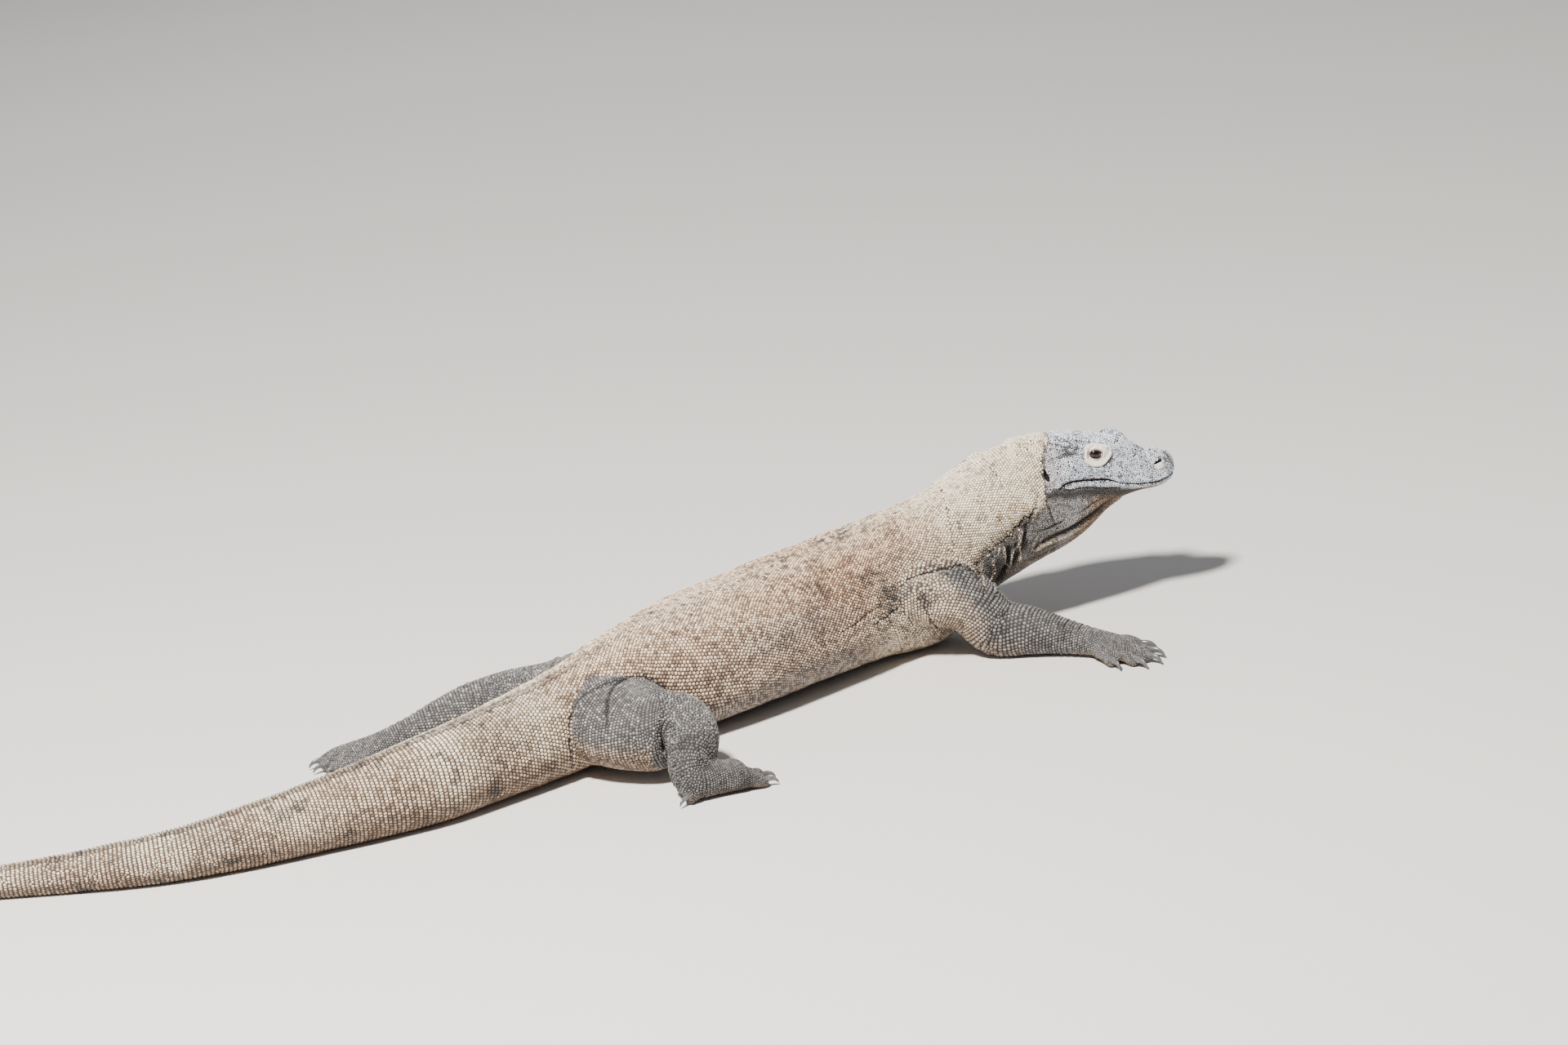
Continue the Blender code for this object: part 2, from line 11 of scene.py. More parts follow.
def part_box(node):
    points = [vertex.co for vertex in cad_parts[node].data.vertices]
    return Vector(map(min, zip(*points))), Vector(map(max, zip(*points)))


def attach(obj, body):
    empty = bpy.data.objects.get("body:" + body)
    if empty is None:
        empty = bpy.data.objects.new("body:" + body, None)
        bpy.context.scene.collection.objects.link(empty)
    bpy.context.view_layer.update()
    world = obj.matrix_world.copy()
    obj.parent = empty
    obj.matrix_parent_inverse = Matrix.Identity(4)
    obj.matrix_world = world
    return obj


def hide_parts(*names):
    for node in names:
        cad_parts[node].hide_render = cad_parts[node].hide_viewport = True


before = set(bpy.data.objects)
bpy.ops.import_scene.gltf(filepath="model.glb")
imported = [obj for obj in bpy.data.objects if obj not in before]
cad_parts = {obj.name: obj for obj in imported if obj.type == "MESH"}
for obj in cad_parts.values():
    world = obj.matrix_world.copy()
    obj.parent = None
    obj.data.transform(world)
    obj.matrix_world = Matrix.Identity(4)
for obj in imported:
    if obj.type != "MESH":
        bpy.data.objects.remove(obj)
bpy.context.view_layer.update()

RNG = np.random.default_rng(7)
SPINE = (  # x, y, z, half width, height above axis, depth below axis
    ("tip",  -1.150,  0.420, 0.0070, 0.0045, 0.0045, 0.0070),
    ("t80",  -0.950,  0.320, 0.0140, 0.0120, 0.0150, 0.0140),
    ("t60",  -0.800,  0.201, 0.0220, 0.0200, 0.0260, 0.0220),
    ("t50",  -0.640,  0.090, 0.0300, 0.0290, 0.0400, 0.0300),
    ("t35",  -0.440,  0.024, 0.0440, 0.0400, 0.0540, 0.0440),
    ("t20",  -0.270, -0.009, 0.0570, 0.0520, 0.0680, 0.0570),
    ("t10",  -0.130,  0.000, 0.0650, 0.0620, 0.0690, 0.0650),
    ("vent",  0.000,  0.014, 0.0700, 0.0720, 0.0780, 0.0700),
    ("hip",   0.070,  0.019, 0.0740, 0.0850, 0.0880, 0.0740),
    ("groin", 0.150,  0.024, 0.0820, 0.1050, 0.0900, 0.0820),
    ("mid",   0.290,  0.044, 0.0900, 0.1250, 0.0860, 0.0900),
    ("rib",   0.430,  0.050, 0.0950, 0.1180, 0.0890, 0.0950),
    ("axil",  0.530,  0.042, 0.1020, 0.1000, 0.0960, 0.1020),
    ("shld",  0.605,  0.022, 0.1150, 0.0880, 0.0990, 0.1150),
    ("nek1",  0.693,  0.001, 0.1540, 0.0780, 0.0840, 0.0950),
    ("nek2",  0.770, -0.022, 0.1920, 0.0710, 0.0790, 0.1020),
    ("occ",   0.828, -0.047, 0.2130, 0.0560, 0.0640, 0.0860),
)
HEAD_O = (0.828, -0.047, 0.2130)       # head frame origin, at the jaw joint
HEAD_YAW, HEAD_PITCH, HEAD_ROLL = -27.0, -2.0, 8.0
# head sections: u along the head, then (y,z) of eight marks from the crown round to the throat, mm
HEAD = (
    (-60, (0, 63), (34, 58), (56, 35), (64,  4), (64, -25), (58, -62), (38,-101), (0, -122)),
    (-20, (0, 68), (35, 63), (57, 43), (63, 12), (64, -15), (59, -47), (40, -92), (0, -115)),
    ( 15, (0, 67), (35, 62), (55, 44), (61, 18), (60,   0), (55, -30), (38, -76), (0, -102)),
    ( 45, (0, 64), (34, 61), (51, 46), (56, 20), (54,   1), (48, -20), (35, -60), (0,  -85)),
    ( 69, (0, 61), (33, 60), (46, 50), (50, 20), (49,  -3), (43, -18), (30, -47), (0,  -65)),
    ( 88, (0, 60), (31, 67), (43, 50), (46, 15), (45,  -7), (39, -20), (24, -38), (0,  -48)),
    (103, (0, 57), (28, 64), (39, 43), (43, 10), (43, -11), (37, -21), (20, -33), (0,  -39)),
    (118, (0, 47), (22, 49), (34, 32), (40,  5), (40, -14), (34, -22), (18, -31), (0,  -35)),
    (136, (0, 38), (18, 37), (30, 24), (36,  2), (36, -15), (31, -23), (15, -29), (0,  -32)),
    (158, (0, 34), (16, 32), (26, 19), (31,  0), (30, -16), (25, -22), (12, -27), (0,  -29)),
    (172, (0, 30), (13, 28), (21, 16), (25,  0), (24, -13), (19, -18), ( 9, -23), (0,  -25)),
    (181, (0, 23), ( 9, 21), (15, 13), (18,  0), (17, -10), (13, -15), ( 6, -18), (0,  -19)),
    (187, (0, 12), ( 4, 11), ( 7,  7), ( 8,  0), ( 7,  -5), ( 6,  -8), ( 3, -10), (0,  -10)),
)
EYE_U, EYE_Y, EYE_Z, EYE_R = 60.0, 41.0, 37.5, 12.0   # eyeball centre in the head frame and radius, mm
# limbs: x, y, z, radius across, radius up
ARM_R = (( 0.555, -0.010, 0.110, 0.056, 0.052), ( 0.598, -0.058, 0.102, 0.054, 0.050), ( 0.630, -0.088, 0.078, 0.047, 0.043),
         ( 0.655, -0.112, 0.042, 0.043, 0.041), ( 0.686, -0.150, 0.036, 0.035, 0.035), ( 0.713, -0.188, 0.029, 0.028, 0.027),
         ( 0.733, -0.222, 0.023, 0.023, 0.021), ( 0.747, -0.250, 0.019, 0.026, 0.017), ( 0.756, -0.276, 0.0145, 0.031, 0.015))
ARM_L = (( 0.570,  0.045, 0.110, 0.056, 0.052), ( 0.574,  0.105, 0.104, 0.053, 0.049), ( 0.562,  0.152, 0.080, 0.047, 0.043),
         ( 0.549,  0.190, 0.042, 0.042, 0.040), ( 0.568,  0.232, 0.036, 0.035, 0.035), ( 0.598,  0.263, 0.029, 0.028, 0.027),
         ( 0.626,  0.290, 0.023, 0.023, 0.021), ( 0.650,  0.311, 0.019, 0.026, 0.017), ( 0.672,  0.327, 0.0145, 0.031, 0.015))
LEG_R = (( 0.005,  0.000, 0.080, 0.066, 0.062), ( 0.011, -0.060, 0.074, 0.076, 0.060), ( 0.032, -0.115, 0.070, 0.069, 0.057),
         ( 0.058, -0.152, 0.072, 0.049, 0.045), ( 0.056, -0.180, 0.067, 0.038, 0.038), ( 0.037, -0.203, 0.053, 0.034, 0.034),
         ( 0.017, -0.221, 0.038, 0.028, 0.030), ( 0.014, -0.232, 0.028, 0.026, 0.026), ( 0.042, -0.240, 0.0235, 0.027, 0.023),
         ( 0.076, -0.248, 0.0205, 0.032, 0.021))
LEG_L = (( 0.045,  0.030, 0.080, 0.068, 0.060), ( 0.040,  0.090, 0.072, 0.064, 0.056), ( 0.018,  0.138, 0.060, 0.056, 0.050),
         (-0.012,  0.176, 0.054, 0.048, 0.047), (-0.065,  0.208, 0.047, 0.041, 0.041), (-0.112,  0.230, 0.037, 0.033, 0.032),
         (-0.154,  0.250, 0.027, 0.024, 0.023), (-0.190,  0.264, 0.019, 0.024, 0.019), (-0.240,  0.276, 0.0152, 0.028, 0.016))
# digits: forward offset, offset to the left of the heading, splay (deg), length, root radius, tip radius, claw length
HAND = ((-0.018, 0.026, 24, 0.030, 0.0105, 0.0085, 0.024), (-0.005, 0.015, 10, 0.040, 0.0110, 0.0088, 0.027),
        ( 0.000, 0.001,  0, 0.046, 0.0112, 0.0090, 0.028), (-0.004,-0.013,-10, 0.044, 0.0110, 0.0088, 0.027),
        (-0.018,-0.026,-24, 0.030, 0.0105, 0.0085, 0.025))
FOOT = ((-0.016, 0.026, 24, 0.026, 0.0115, 0.0090, 0.022), (-0.005, 0.014, 10, 0.033, 0.0120, 0.0095, 0.025),
        ( 0.000, 0.000,  1, 0.038, 0.0122, 0.0098, 0.026), (-0.004,-0.014, -8, 0.040, 0.0120, 0.0095, 0.026),
        (-0.064,-0.016,-150,0.019, 0.0120, 0.0090, 0.026))
# limb -> (palm end x, y), heading, digits, +1 = first digit on the left of the heading
FEET = {"R_fore": (( 0.756, -0.276),  -76.0, HAND, 1), "L_fore": ((0.672, 0.327), 36.0, HAND, -1),
        "R_hind": (( 0.078, -0.249),  -18.0, FOOT, 1), "L_hind": ((-0.240, 0.276), 171.0, FOOT, 1)}
def pchip(x, y, xi):
    """Monotone cubic through (x, y); y may have columns."""
    x = np.asarray(x, float); y = np.asarray(y, float); xi = np.asarray(xi, float)
    h = np.diff(x)[:, None]; d = np.diff(y, axis=0) / h
    m = np.zeros_like(y)
    w1 = 2 * h[1:] + h[:-1]; w2 = h[1:] + 2 * h[:-1]
    with np.errstate(divide="ignore", invalid="ignore"):
        mm = (w1 + w2) / (w1 / d[:-1] + w2 / d[1:])
    m[1:-1] = np.where(d[:-1] * d[1:] > 0, mm, 0.0); m[0] = d[0]; m[-1] = d[-1]
    k = np.clip(np.searchsorted(x, xi, side="right") - 1, 0, len(x) - 2)
    t = ((xi - x[k]) / np.diff(x)[k])[:, None]; H = h[k]
    return ((2*t**3 - 3*t**2 + 1) * y[k] + (t**3 - 2*t**2 + t) * H * m[k]
            + (-2*t**3 + 3*t**2) * y[k+1] + (t**3 - t**2) * H * m[k+1])


def catmull(x, y, xi):
    """Smooth cubic through (x, y); y has columns."""
    x = np.asarray(x, float); y = np.asarray(y, float); xi = np.asarray(xi, float)
    h = np.diff(x)[:, None]; d = np.diff(y, axis=0) / h
    m = np.zeros_like(y); m[1:-1] = (d[:-1] * h[1:] + d[1:] * h[:-1]) / (h[:-1] + h[1:]); m[0] = d[0]; m[-1] = d[-1]
    k = np.clip(np.searchsorted(x, xi, side="right") - 1, 0, len(x) - 2)
    t = ((xi - x[k]) / np.diff(x)[k])[:, None]; H = h[k]
    return ((2*t**3 - 3*t**2 + 1) * y[k] + (t**3 - 2*t**2 + t) * H * m[k]
            + (-2*t**3 + 3*t**2) * y[k+1] + (t**3 - t**2) * H * m[k+1])


def loft(V):
    """Closed mesh through rings V[ring, corner, xyz], fan caps at both ends."""
    r, m = V.shape[:2]
    i = np.arange(r - 1)[:, None]; j = np.arange(m)[None]
    a = i * m + j; b = i * m + (j + 1) % m
    F = [tuple(int(q) for q in f) for f in np.stack([a, b, b + m, a + m], -1).reshape(-1, 4)]
    P = np.vstack([V.reshape(-1, 3), V[0].mean(0), V[-1].mean(0)])
    for k in range(m):
        F.append((r * m, (k + 1) % m, k)); F.append((r * m + 1, (r - 1) * m + k, (r - 1) * m + (k + 1) % m))
    vol = sum(P[f[0]] @ np.cross(P[f[k]], P[f[k + 1]]) for f in F for k in range(1, len(f) - 1))
    if vol < 0:
        F = [f[::-1] for f in F]
    return P, F


def ring(n, m):
    th = np.linspace(0, 2 * np.pi, m, endpoint=False); c, s = np.cos(th), np.sin(th)
    return np.sign(c) * abs(c) ** (2 / n), np.sign(s) * abs(s) ** (2 / n)


def path_frames(P, S, m):
    t = np.concatenate([[0], np.cumsum(np.linalg.norm(np.diff(P, axis=0), axis=1))])
    ti = np.linspace(0, t[-1], m); C = catmull(t, P, ti); R = pchip(t, S, ti)
    T = catmull(t, P, np.clip(ti + 1e-3, 0, t[-1])) - catmull(t, P, np.clip(ti - 1e-3, 0, t[-1]))
    T /= np.linalg.norm(T, axis=1)[:, None]
    side = np.cross((0, 0, 1.0), T); side /= np.linalg.norm(side, axis=1)[:, None]
    return C, T, side, np.cross(T, side), R


def body_loft(m=150, k=44):
    A = np.array([s[1:] for s in SPINE])
    C, T, side, U, R = path_frames(A[:, :3], A[:, 3:], m); c, s = ring(2.3, k)
    z = np.where(s > 0, s * R[:, 1:2], s * R[:, 2:3])
    return loft(C[:, None] + c[None, :, None] * R[:, 0:1, None] * side[:, None] + z[..., None] * U[:, None])


def head_axes():
    y, p, r = np.radians((HEAD_YAW, HEAD_PITCH, HEAD_ROLL))
    f = np.array([np.cos(y) * np.cos(p), np.sin(y) * np.cos(p), np.sin(p)])
    l = np.array([-np.sin(y), np.cos(y), 0.0]); u = np.cross(f, l)
    return f, l * np.cos(r) - u * np.sin(r), u * np.cos(r) + l * np.sin(r)


def head_point(p):
    """Head frame (forward, left, up) in mm to metres in the room."""
    f, l, u = head_axes(); p = np.asarray(p, float) * 0.001
    return np.array(HEAD_O) + p[..., 0:1] * f + p[..., 1:2] * l + p[..., 2:3] * u


def head_loft(m=64, k=44):
    us = np.array([h[0] for h in HEAD], float); L = np.array([h[1:] for h in HEAD], float)
    full = np.concatenate([L, L[:, 6:0:-1] * np.array([-1, 1])], 1)
    ui = np.concatenate([np.linspace(-60, 150, m - 16, endpoint=False), 150 + 37 * np.sin(np.linspace(0, np.pi / 2, 16))])
    R = catmull(us, full.reshape(len(us), -1), ui).reshape(len(ui), 14, 2)
    W = np.concatenate([R[:, -2:], R, R[:, :3]], 1); fi = np.linspace(0, 14, k, endpoint=False)
    out = np.stack([catmull(np.arange(-2, 17.0), W[:, :, c].T, fi).T for c in range(2)], -1)
    V = head_point(np.concatenate([np.repeat(ui[:, None, None], k, 1), out], 2))
    return loft(V[:, ::-1])


def tube(pts, m=40, k=22, n=2.15, cap=5, grow=0.0):
    """Limb, digit or claw: a loft along a path with rounded ends."""
    A = np.array(pts, float)
    C, T, side, U, R = path_frames(A[:, :3], A[:, 3:] + grow, m); c, s = ring(n, k)
    V = C[:, None] + c[None, :, None] * R[:, 0:1, None] * side[:, None] + s[None, :, None] * R[:, 1:2, None] * U[:, None]
    def end(i, sgn):
        o = []
        for a in np.linspace(0, np.pi / 2, cap + 1)[1:]:
            q = max(np.cos(a), 0.08)
            o.append(C[i] + T[i] * sgn * np.sin(a) * R[i, 1] * 0.8 + c[:, None] * R[i, 0] * q * side[i] + s[:, None] * R[i, 1] * q * U[i])
        return np.array(o)
    return loft(np.concatenate([end(0, -1)[::-1], V, end(-1, 1)]))


def digits(key):
    """Path of each toe and of its claw for one foot."""
    (px, py), head, rows, sg = FEET[key]
    h = math.radians(head); H = np.array([math.cos(h), math.sin(h)]); Lf = np.array([-H[1], H[0]]); out = []
    for fo, la, sp, ln, r0, r1, cl in rows:
        b = np.array([px, py]) + H * fo + Lf * la * sg
        a = h + math.radians(sp) * sg; d = np.array([math.cos(a), math.sin(a)])
        toe = [(*(b - d * 0.012), 0.0135, r0, r0 * .95), (*(b + d * ln * 0.30), 0.0158, r0 * .98, r0 * .95),
               (*(b + d * ln * 0.62), 0.0128, (r0 + r1) / 2, (r0 + r1) / 2 * .95), (*(b + d * ln * 0.92), r1 * .90, r1, r1 * .93)]
        tip = b + d * ln * 0.92; claw = []
        for t in np.linspace(0, 1, 9):
            x = -0.005 + (cl + 0.004) * math.sin(t * 1.25) / math.sin(1.25)
            z = 0.0100 + 0.0048 * math.sin(t * math.pi * 0.9) - 0.0086 * t ** 1.7
            r = 0.0050 * (1 - t) ** 0.8 + 0.0007
            claw.append((*(tip + d * x), max(z, r + 0.0004), r * 0.74, r))
        out.append((toe, claw))
    return out




# ------------------------------------------------------------------ small helpers
HAX = np.stack(head_axes())
_e0, _e1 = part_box("eye_left")
SHIFT = (np.array(_e0) + np.array(_e1)) / 2 - head_point((EYE_U, EYE_Y, EYE_Z)); SHIFT[2] = 0.0


def sstep(x, a, b):
    t = np.clip((np.asarray(x, float) - a) / (b - a), 0, 1)
    return t * t * (3 - 2 * t)


def gauss(d, w):
    return np.exp(-(np.asarray(d, float) / w) ** 2)


def head_coords(P):
    """Forward, left and up in the head's frame, mm."""
    return (P - np.array(HEAD_O)) @ HAX.T * 1000


def polyline(U, V, pts):
    """Distance to a line, how far along it (0..1) and the signed distance (positive on its left)."""
    pts = np.array(pts, float); best = np.full(len(U), 1e9); along = np.zeros(len(U)); sign = np.ones(len(U))
    seg = np.diff(pts, axis=0); L = np.linalg.norm(seg, axis=1); cum = np.concatenate([[0], np.cumsum(L)])
    for i, (dx, dy) in enumerate(seg):
        px, py = U - pts[i, 0], V - pts[i, 1]
        t = np.clip((px * dx + py * dy) / (L[i] ** 2), 0, 1)
        d = np.hypot(px - t * dx, py - t * dy); m = d < best
        best[m] = d[m]; along[m] = (cum[i] + t[m] * L[i]) / cum[-1]
        sign[m] = np.where(dx * py[m] - dy * px[m] >= 0, 1.0, -1.0)
    return best, along, best * sign


def fbm(P, scale, octaves=3, seed=0.0):
    """Smooth seeded noise in about -1..1 at each point."""
    off = Vector((seed * 3.1, seed * 1.7, seed * 2.3)); o = np.empty(len(P))
    for i, p in enumerate((P * scale).tolist()):
        o[i] = noise.fractal(Vector(p) + off, 1.0, 2.0, octaves)
    return o


class Axis:
    """A bent axis with the half sizes of the form around it."""
    def __init__(self, pts, m, n, body=False):
        A = np.array([s[1:] for s in pts] if body else pts, float); self.n = n
        self.C, self.T, self.S, self.U, R = path_frames(A[:, :3], A[:, 3:], m)
        self.w = R[:, 0]; self.up = R[:, 1]; self.dn = R[:, 2] if body else R[:, 1]
        self.t = np.concatenate([[0], np.cumsum(np.linalg.norm(np.diff(self.C, axis=0), axis=1))]); self.L = self.t[-1]

    def locate(self, P):
        """Nearest place on the axis: arc length, sideways, up (metres) and the form's own level (1 on it)."""
        k = np.empty(len(P), int)
        for a in range(0, len(P), 20000):
            q = P[a:a + 20000]
            k[a:a + 20000] = (np.sum(q ** 2, 1)[:, None] - 2 * q @ self.C.T + np.sum(self.C ** 2, 1)[None]).argmin(1)
        q = P - self.C[k]; s = self.t[k] + np.clip(np.sum(q * self.T[k], 1), -0.03, 0.03)
        a = np.sum(q * self.S[k], 1); b = np.sum(q * self.U[k], 1)
        w = np.interp(s, self.t, self.w); up = np.interp(s, self.t, self.up); dn = np.interp(s, self.t, self.dn)
        over = np.maximum(0, np.maximum(-s, s - self.L)) / w
        f = (abs(a / w) ** self.n + abs(b / np.where(b > 0, up, dn)) ** self.n) ** (1 / self.n) + over
        return s, a, b, f


BODY = Axis(SPINE, 560, 2.3, True)
LIMBS = {"arm_right": Axis(ARM_R, 80, 2.15), "arm_left": Axis(ARM_L, 80, 2.15),
         "leg_right": Axis(LEG_R, 80, 2.15), "leg_left": Axis(LEG_L, 80, 2.15)}
TOES = {}
for _k, _n in (("R_fore", "arm_right"), ("L_fore", "arm_left"), ("R_hind", "leg_right"), ("L_hind", "leg_left")):
    TOES[_n] = [Axis(toe, 24, 2.1) for toe, claw in digits(_k)]
NAMES = ["body", "arm_right", "arm_left", "leg_right", "leg_left"]     # region numbers 0..4; 5 is the head; +10 the toes

# lines on the head, (forward, up) in mm, read on either side
MOUTH = ((206, 0), (189, -6.5), (178, -12), (167, -15.5), (157, -17.4), (141, -17.2), (127, -16.7), (113, -14.9), (104, -13.1), (94, -10.3),
         (84.6, -6.2), (78, -3.8), (70, -2.2), (57, -1.2), (41, .5), (27.6, 1.6), (18, .9), (9, -1.1), (2, -6))
LIP_LOW = ((200, -10), (186, -15), (168, -19.5), (156, -21.7), (141.7, -21.8), (121, -20.8), (105, -19), (90, -18.3), (76.4, -16.8), (65.5, -15.3),
           (48, -11.4), (31.4, -10.2), (20.3, -11.2), (8, -9.5), (0, -7))
BORDER = ((-2, 74), (-5, 62.5), (-18, 48), (-22, 22), (-21, 2), (-21, -22), (-18, -32), (-14, -44), (-11, -56), (-4, -68))
EAR = ((-19.5, 26), (-18.6, 17), (-14.2, 5))
NUCHAL = ((-24, -31), (-32, -34), (-40.2, -40), (-46.7, -44.6), (-54.8, -49.1), (-61.3, -52.2), (-66.3, -57.8), (-70.1, -66.6), (-75.4, -73.8), (-83.2, -75.2),
          (-89.4, -75.6), (-97.8, -83.5), (-109.1, -90), (-118.4, -91), (-124, -99), (-130, -112))
FOLD = ((-36.3, 8), (-40.1, -19), (-47.4, -33), (-58, -47))          # soft upper end of the nuchal fold
CREVICE = (((-57, -52), (-55.6, -60), (-58.9, -71), (-62.3, -84.5), (-68, -100)), ((-86, -84), (-84, -98), (-89, -116), (-100, -136)),
           ((-73, -80), (-74, -96), (-76, -112)))
PLEAT = (((-64.4, -62), (-68.1, -79), (-78, -93.4), (-81.3, -108.5), (-87, -122)), ((-93.2, -84), (-91, -96.6), (-87.8, -112)), ((-65.6, -86), (-65.8, -109)),
         ((-112, -100), (-108, -118), (-118, -136)))
GULAR = (((-42.3, -66.7), (-31.5, -66.4), (-22.1, -65.1), (-9.4, -61.2), (3.2, -58), (10, -52)),
         ((-42, -92), (-27.8, -84), (-13.4, -78.5), (7.1, -74), (23.1, -68), (39.2, -60.5), (55.3, -52), (72, -41), (92, -33)),
         ((-18, -32), (-14, -46), (-7, -60)), ((30, -50), (52, -38), (76, -30)), ((-62, -112), (-36, -108), (-8, -101), (22, -91)))
HIGHLIGHT_RIDGE = ((-49.2, -100), (-31.6, -92.7), (-15.7, -88.3), (-3.1, -85.9), (12.7, -82.3), (23.9, -77.3), (46.4, -67.5), (64, -56), (82, -46), (100, -38))
LID = np.array(((-17.5, .6), (-16.8, 6), (-15.6, 11.3), (-12.5, 14.6), (-5.5, 15.6), (4, 14.6), (14.7, 11.4), (21.3, 9.4), (26.5, 7.8), (28.6, 3.6), (27.6, -1.6),
                (24.2, -6.2), (19.8, -11.1), (13.9, -15.9), (6.8, -18.2), (-1.4, -17.6), (-9.4, -14.8), (-14.5, -9.6), (-17.2, -4.2)))   # edge of the pale lids about the eye's centre


# creases on the right side, points in metres: (line, width, depth in mm, darkness of the painted shade laid in it),
# each cut straight in as the flank is seen squarely
FLANK = np.array(((math.cos(math.radians(34.5)), -math.sin(math.radians(34.5)), 0), (.1746, .2541, .9511), (.5387, .7838, -.3090)))
CREASES = ((((.524, -.055, .125), (.539, -.061, .138), (.552, -.071, .144), (.582, -.081, .146), (.622, -.080, .141), (.638, -.089, .128), (.636, -.108, .116), (.633, -.122, .104)), 3.1, 6.0, 1.0),
           (((.547, -.083, .098), (.560, -.079, .071), (.583, -.062, .050), (.603, -.048, .035)), 2.0, 3.2, .9),
           (((.404, -.070, .096), (.433, -.067, .100), (.458, -.064, .108), (.486, -.059, .112)), 2.2, 2.2, .75),
           (((.470, -.062, .088), (.500, -.056, .092), (.525, -.055, .100)), 2.4, 1.8, .6),
           (((-.068, -.053, .030), (-.070, -.059, .078), (-.059, -.052, .104), (-.044, -.052, .120), (-.029, -.055, .128), (-.009, -.059, .133), (.010, -.061, .134), (.036, -.068, .131)), 2.4, 3.2, .95))


def crease_at(P, pts):
    """Distance from a crease line (mm), how far along it, its signed side, and whether the point lies at its depth."""
    q = P @ FLANK.T; L = np.array(pts) @ FLANK.T; d, al, sg = polyline(q[:, 0], q[:, 1], L[:, :2])
    cum = np.concatenate([[0], np.cumsum(np.linalg.norm(np.diff(L[:, :2], axis=0), axis=1))])
    return d * 1000, al, sg * 1000, abs(q[:, 2] - np.interp(al, cum / cum[-1], L[:, 2])) < .030


def border_u(v):
    b = np.array(BORDER)[::-1]
    return np.interp(v, b[:, 1], b[:, 0])


def regions(P):
    """For points of the skin: region number, and for each axis its coordinates."""
    loc = {n: (BODY if n == "body" else LIMBS[n]).locate(P) for n in NAMES}
    F = np.stack([loc[n][3] for n in NAMES], 1)
    F[:, 0] -= 0.02
    reg = F.argmin(1)
    H = head_coords(P)
    head = (H[:, 0] > border_u(H[:, 2])) & (abs(H[:, 1]) < 75) & (H[:, 2] > -125)
    reg[head] = 5
    toe = np.zeros(len(P), int); which = np.full(len(P), -1)
    for i, n in enumerate(NAMES[1:], 1):
        m = (reg == i) & (loc[n][0] > LIMBS[n].L * 0.80)
        if m.any():
            ft = np.stack([t.locate(P[m])[3] for t in TOES[n]], 1); fb = loc[n][3][m]
            far = loc[n][0][m] > LIMBS[n].L - 0.004
            is_toe = (ft.min(1) < fb) | far
            idx = np.where(m)[0]; toe[idx[is_toe]] = 1; which[idx[is_toe]] = ft.argmin(1)[is_toe]
    return reg, toe, which, loc, H


# ------------------------------------------------------------------ the skin's form
BROW_U, BROW_D = (60, 71, 78, 84, 91, 97, 104, 110, 117, 124, 130, 135, 142), (1.5, 4.4, 1.8, -4.0, -6.8, -7.0, -7.8, -6.0, -3.8, 1.0, 3.8, 3.2, 0)      # last trim of the brow's height along the head, mm
OPEN = (9.7, 7.2, .5, .2, -11.0)      # half length and height of the eye's opening, its centre from the ball's, its tilt


def eye_fields(H):
    """Coordinates in the plane of the eye: (opening level, lid level, distance from the eye's centre, a, b)."""
    a, b = H[:, 0] - EYE_U, H[:, 2] - EYE_Z
    c, s = math.cos(math.radians(OPEN[4])), math.sin(math.radians(OPEN[4]))
    x, y = (a - OPEN[2]) * c + (b - OPEN[3]) * s, -(a - OPEN[2]) * s + (b - OPEN[3]) * c
    q = np.sqrt((x / (OPEN[0] + .9 * (x > 0))) ** 2 + (y / OPEN[1]) ** 2)
    x2, y2 = a - 4.5, b + 1.5
    e = LID - (4.5, -1.5); t = np.arctan2(e[:, 1], e[:, 0]); o = np.argsort(t)
    lid = np.hypot(x2, y2) / np.interp(np.arctan2(y2, x2), t[o], np.linalg.norm(e, axis=1)[o], period=2 * np.pi)
    return q, lid, np.hypot(a, b), x, y, x2, y2


def nostril(u, v):
    """Levels of the nostril's slot and of the pale oval below it, 1 on each edge."""
    x, y = u - 158.2, v - 11.6; cn, sn = math.cos(0.20), math.sin(0.20); x, y = x * cn + y * sn, -x * sn + y * cn
    return (abs(x / 6.0) ** 2.6 + abs(y / 2.2) ** 2.6) ** (1 / 2.6), np.hypot((u - 159.4) / 7.6, (v - 6.6) / 4.6)


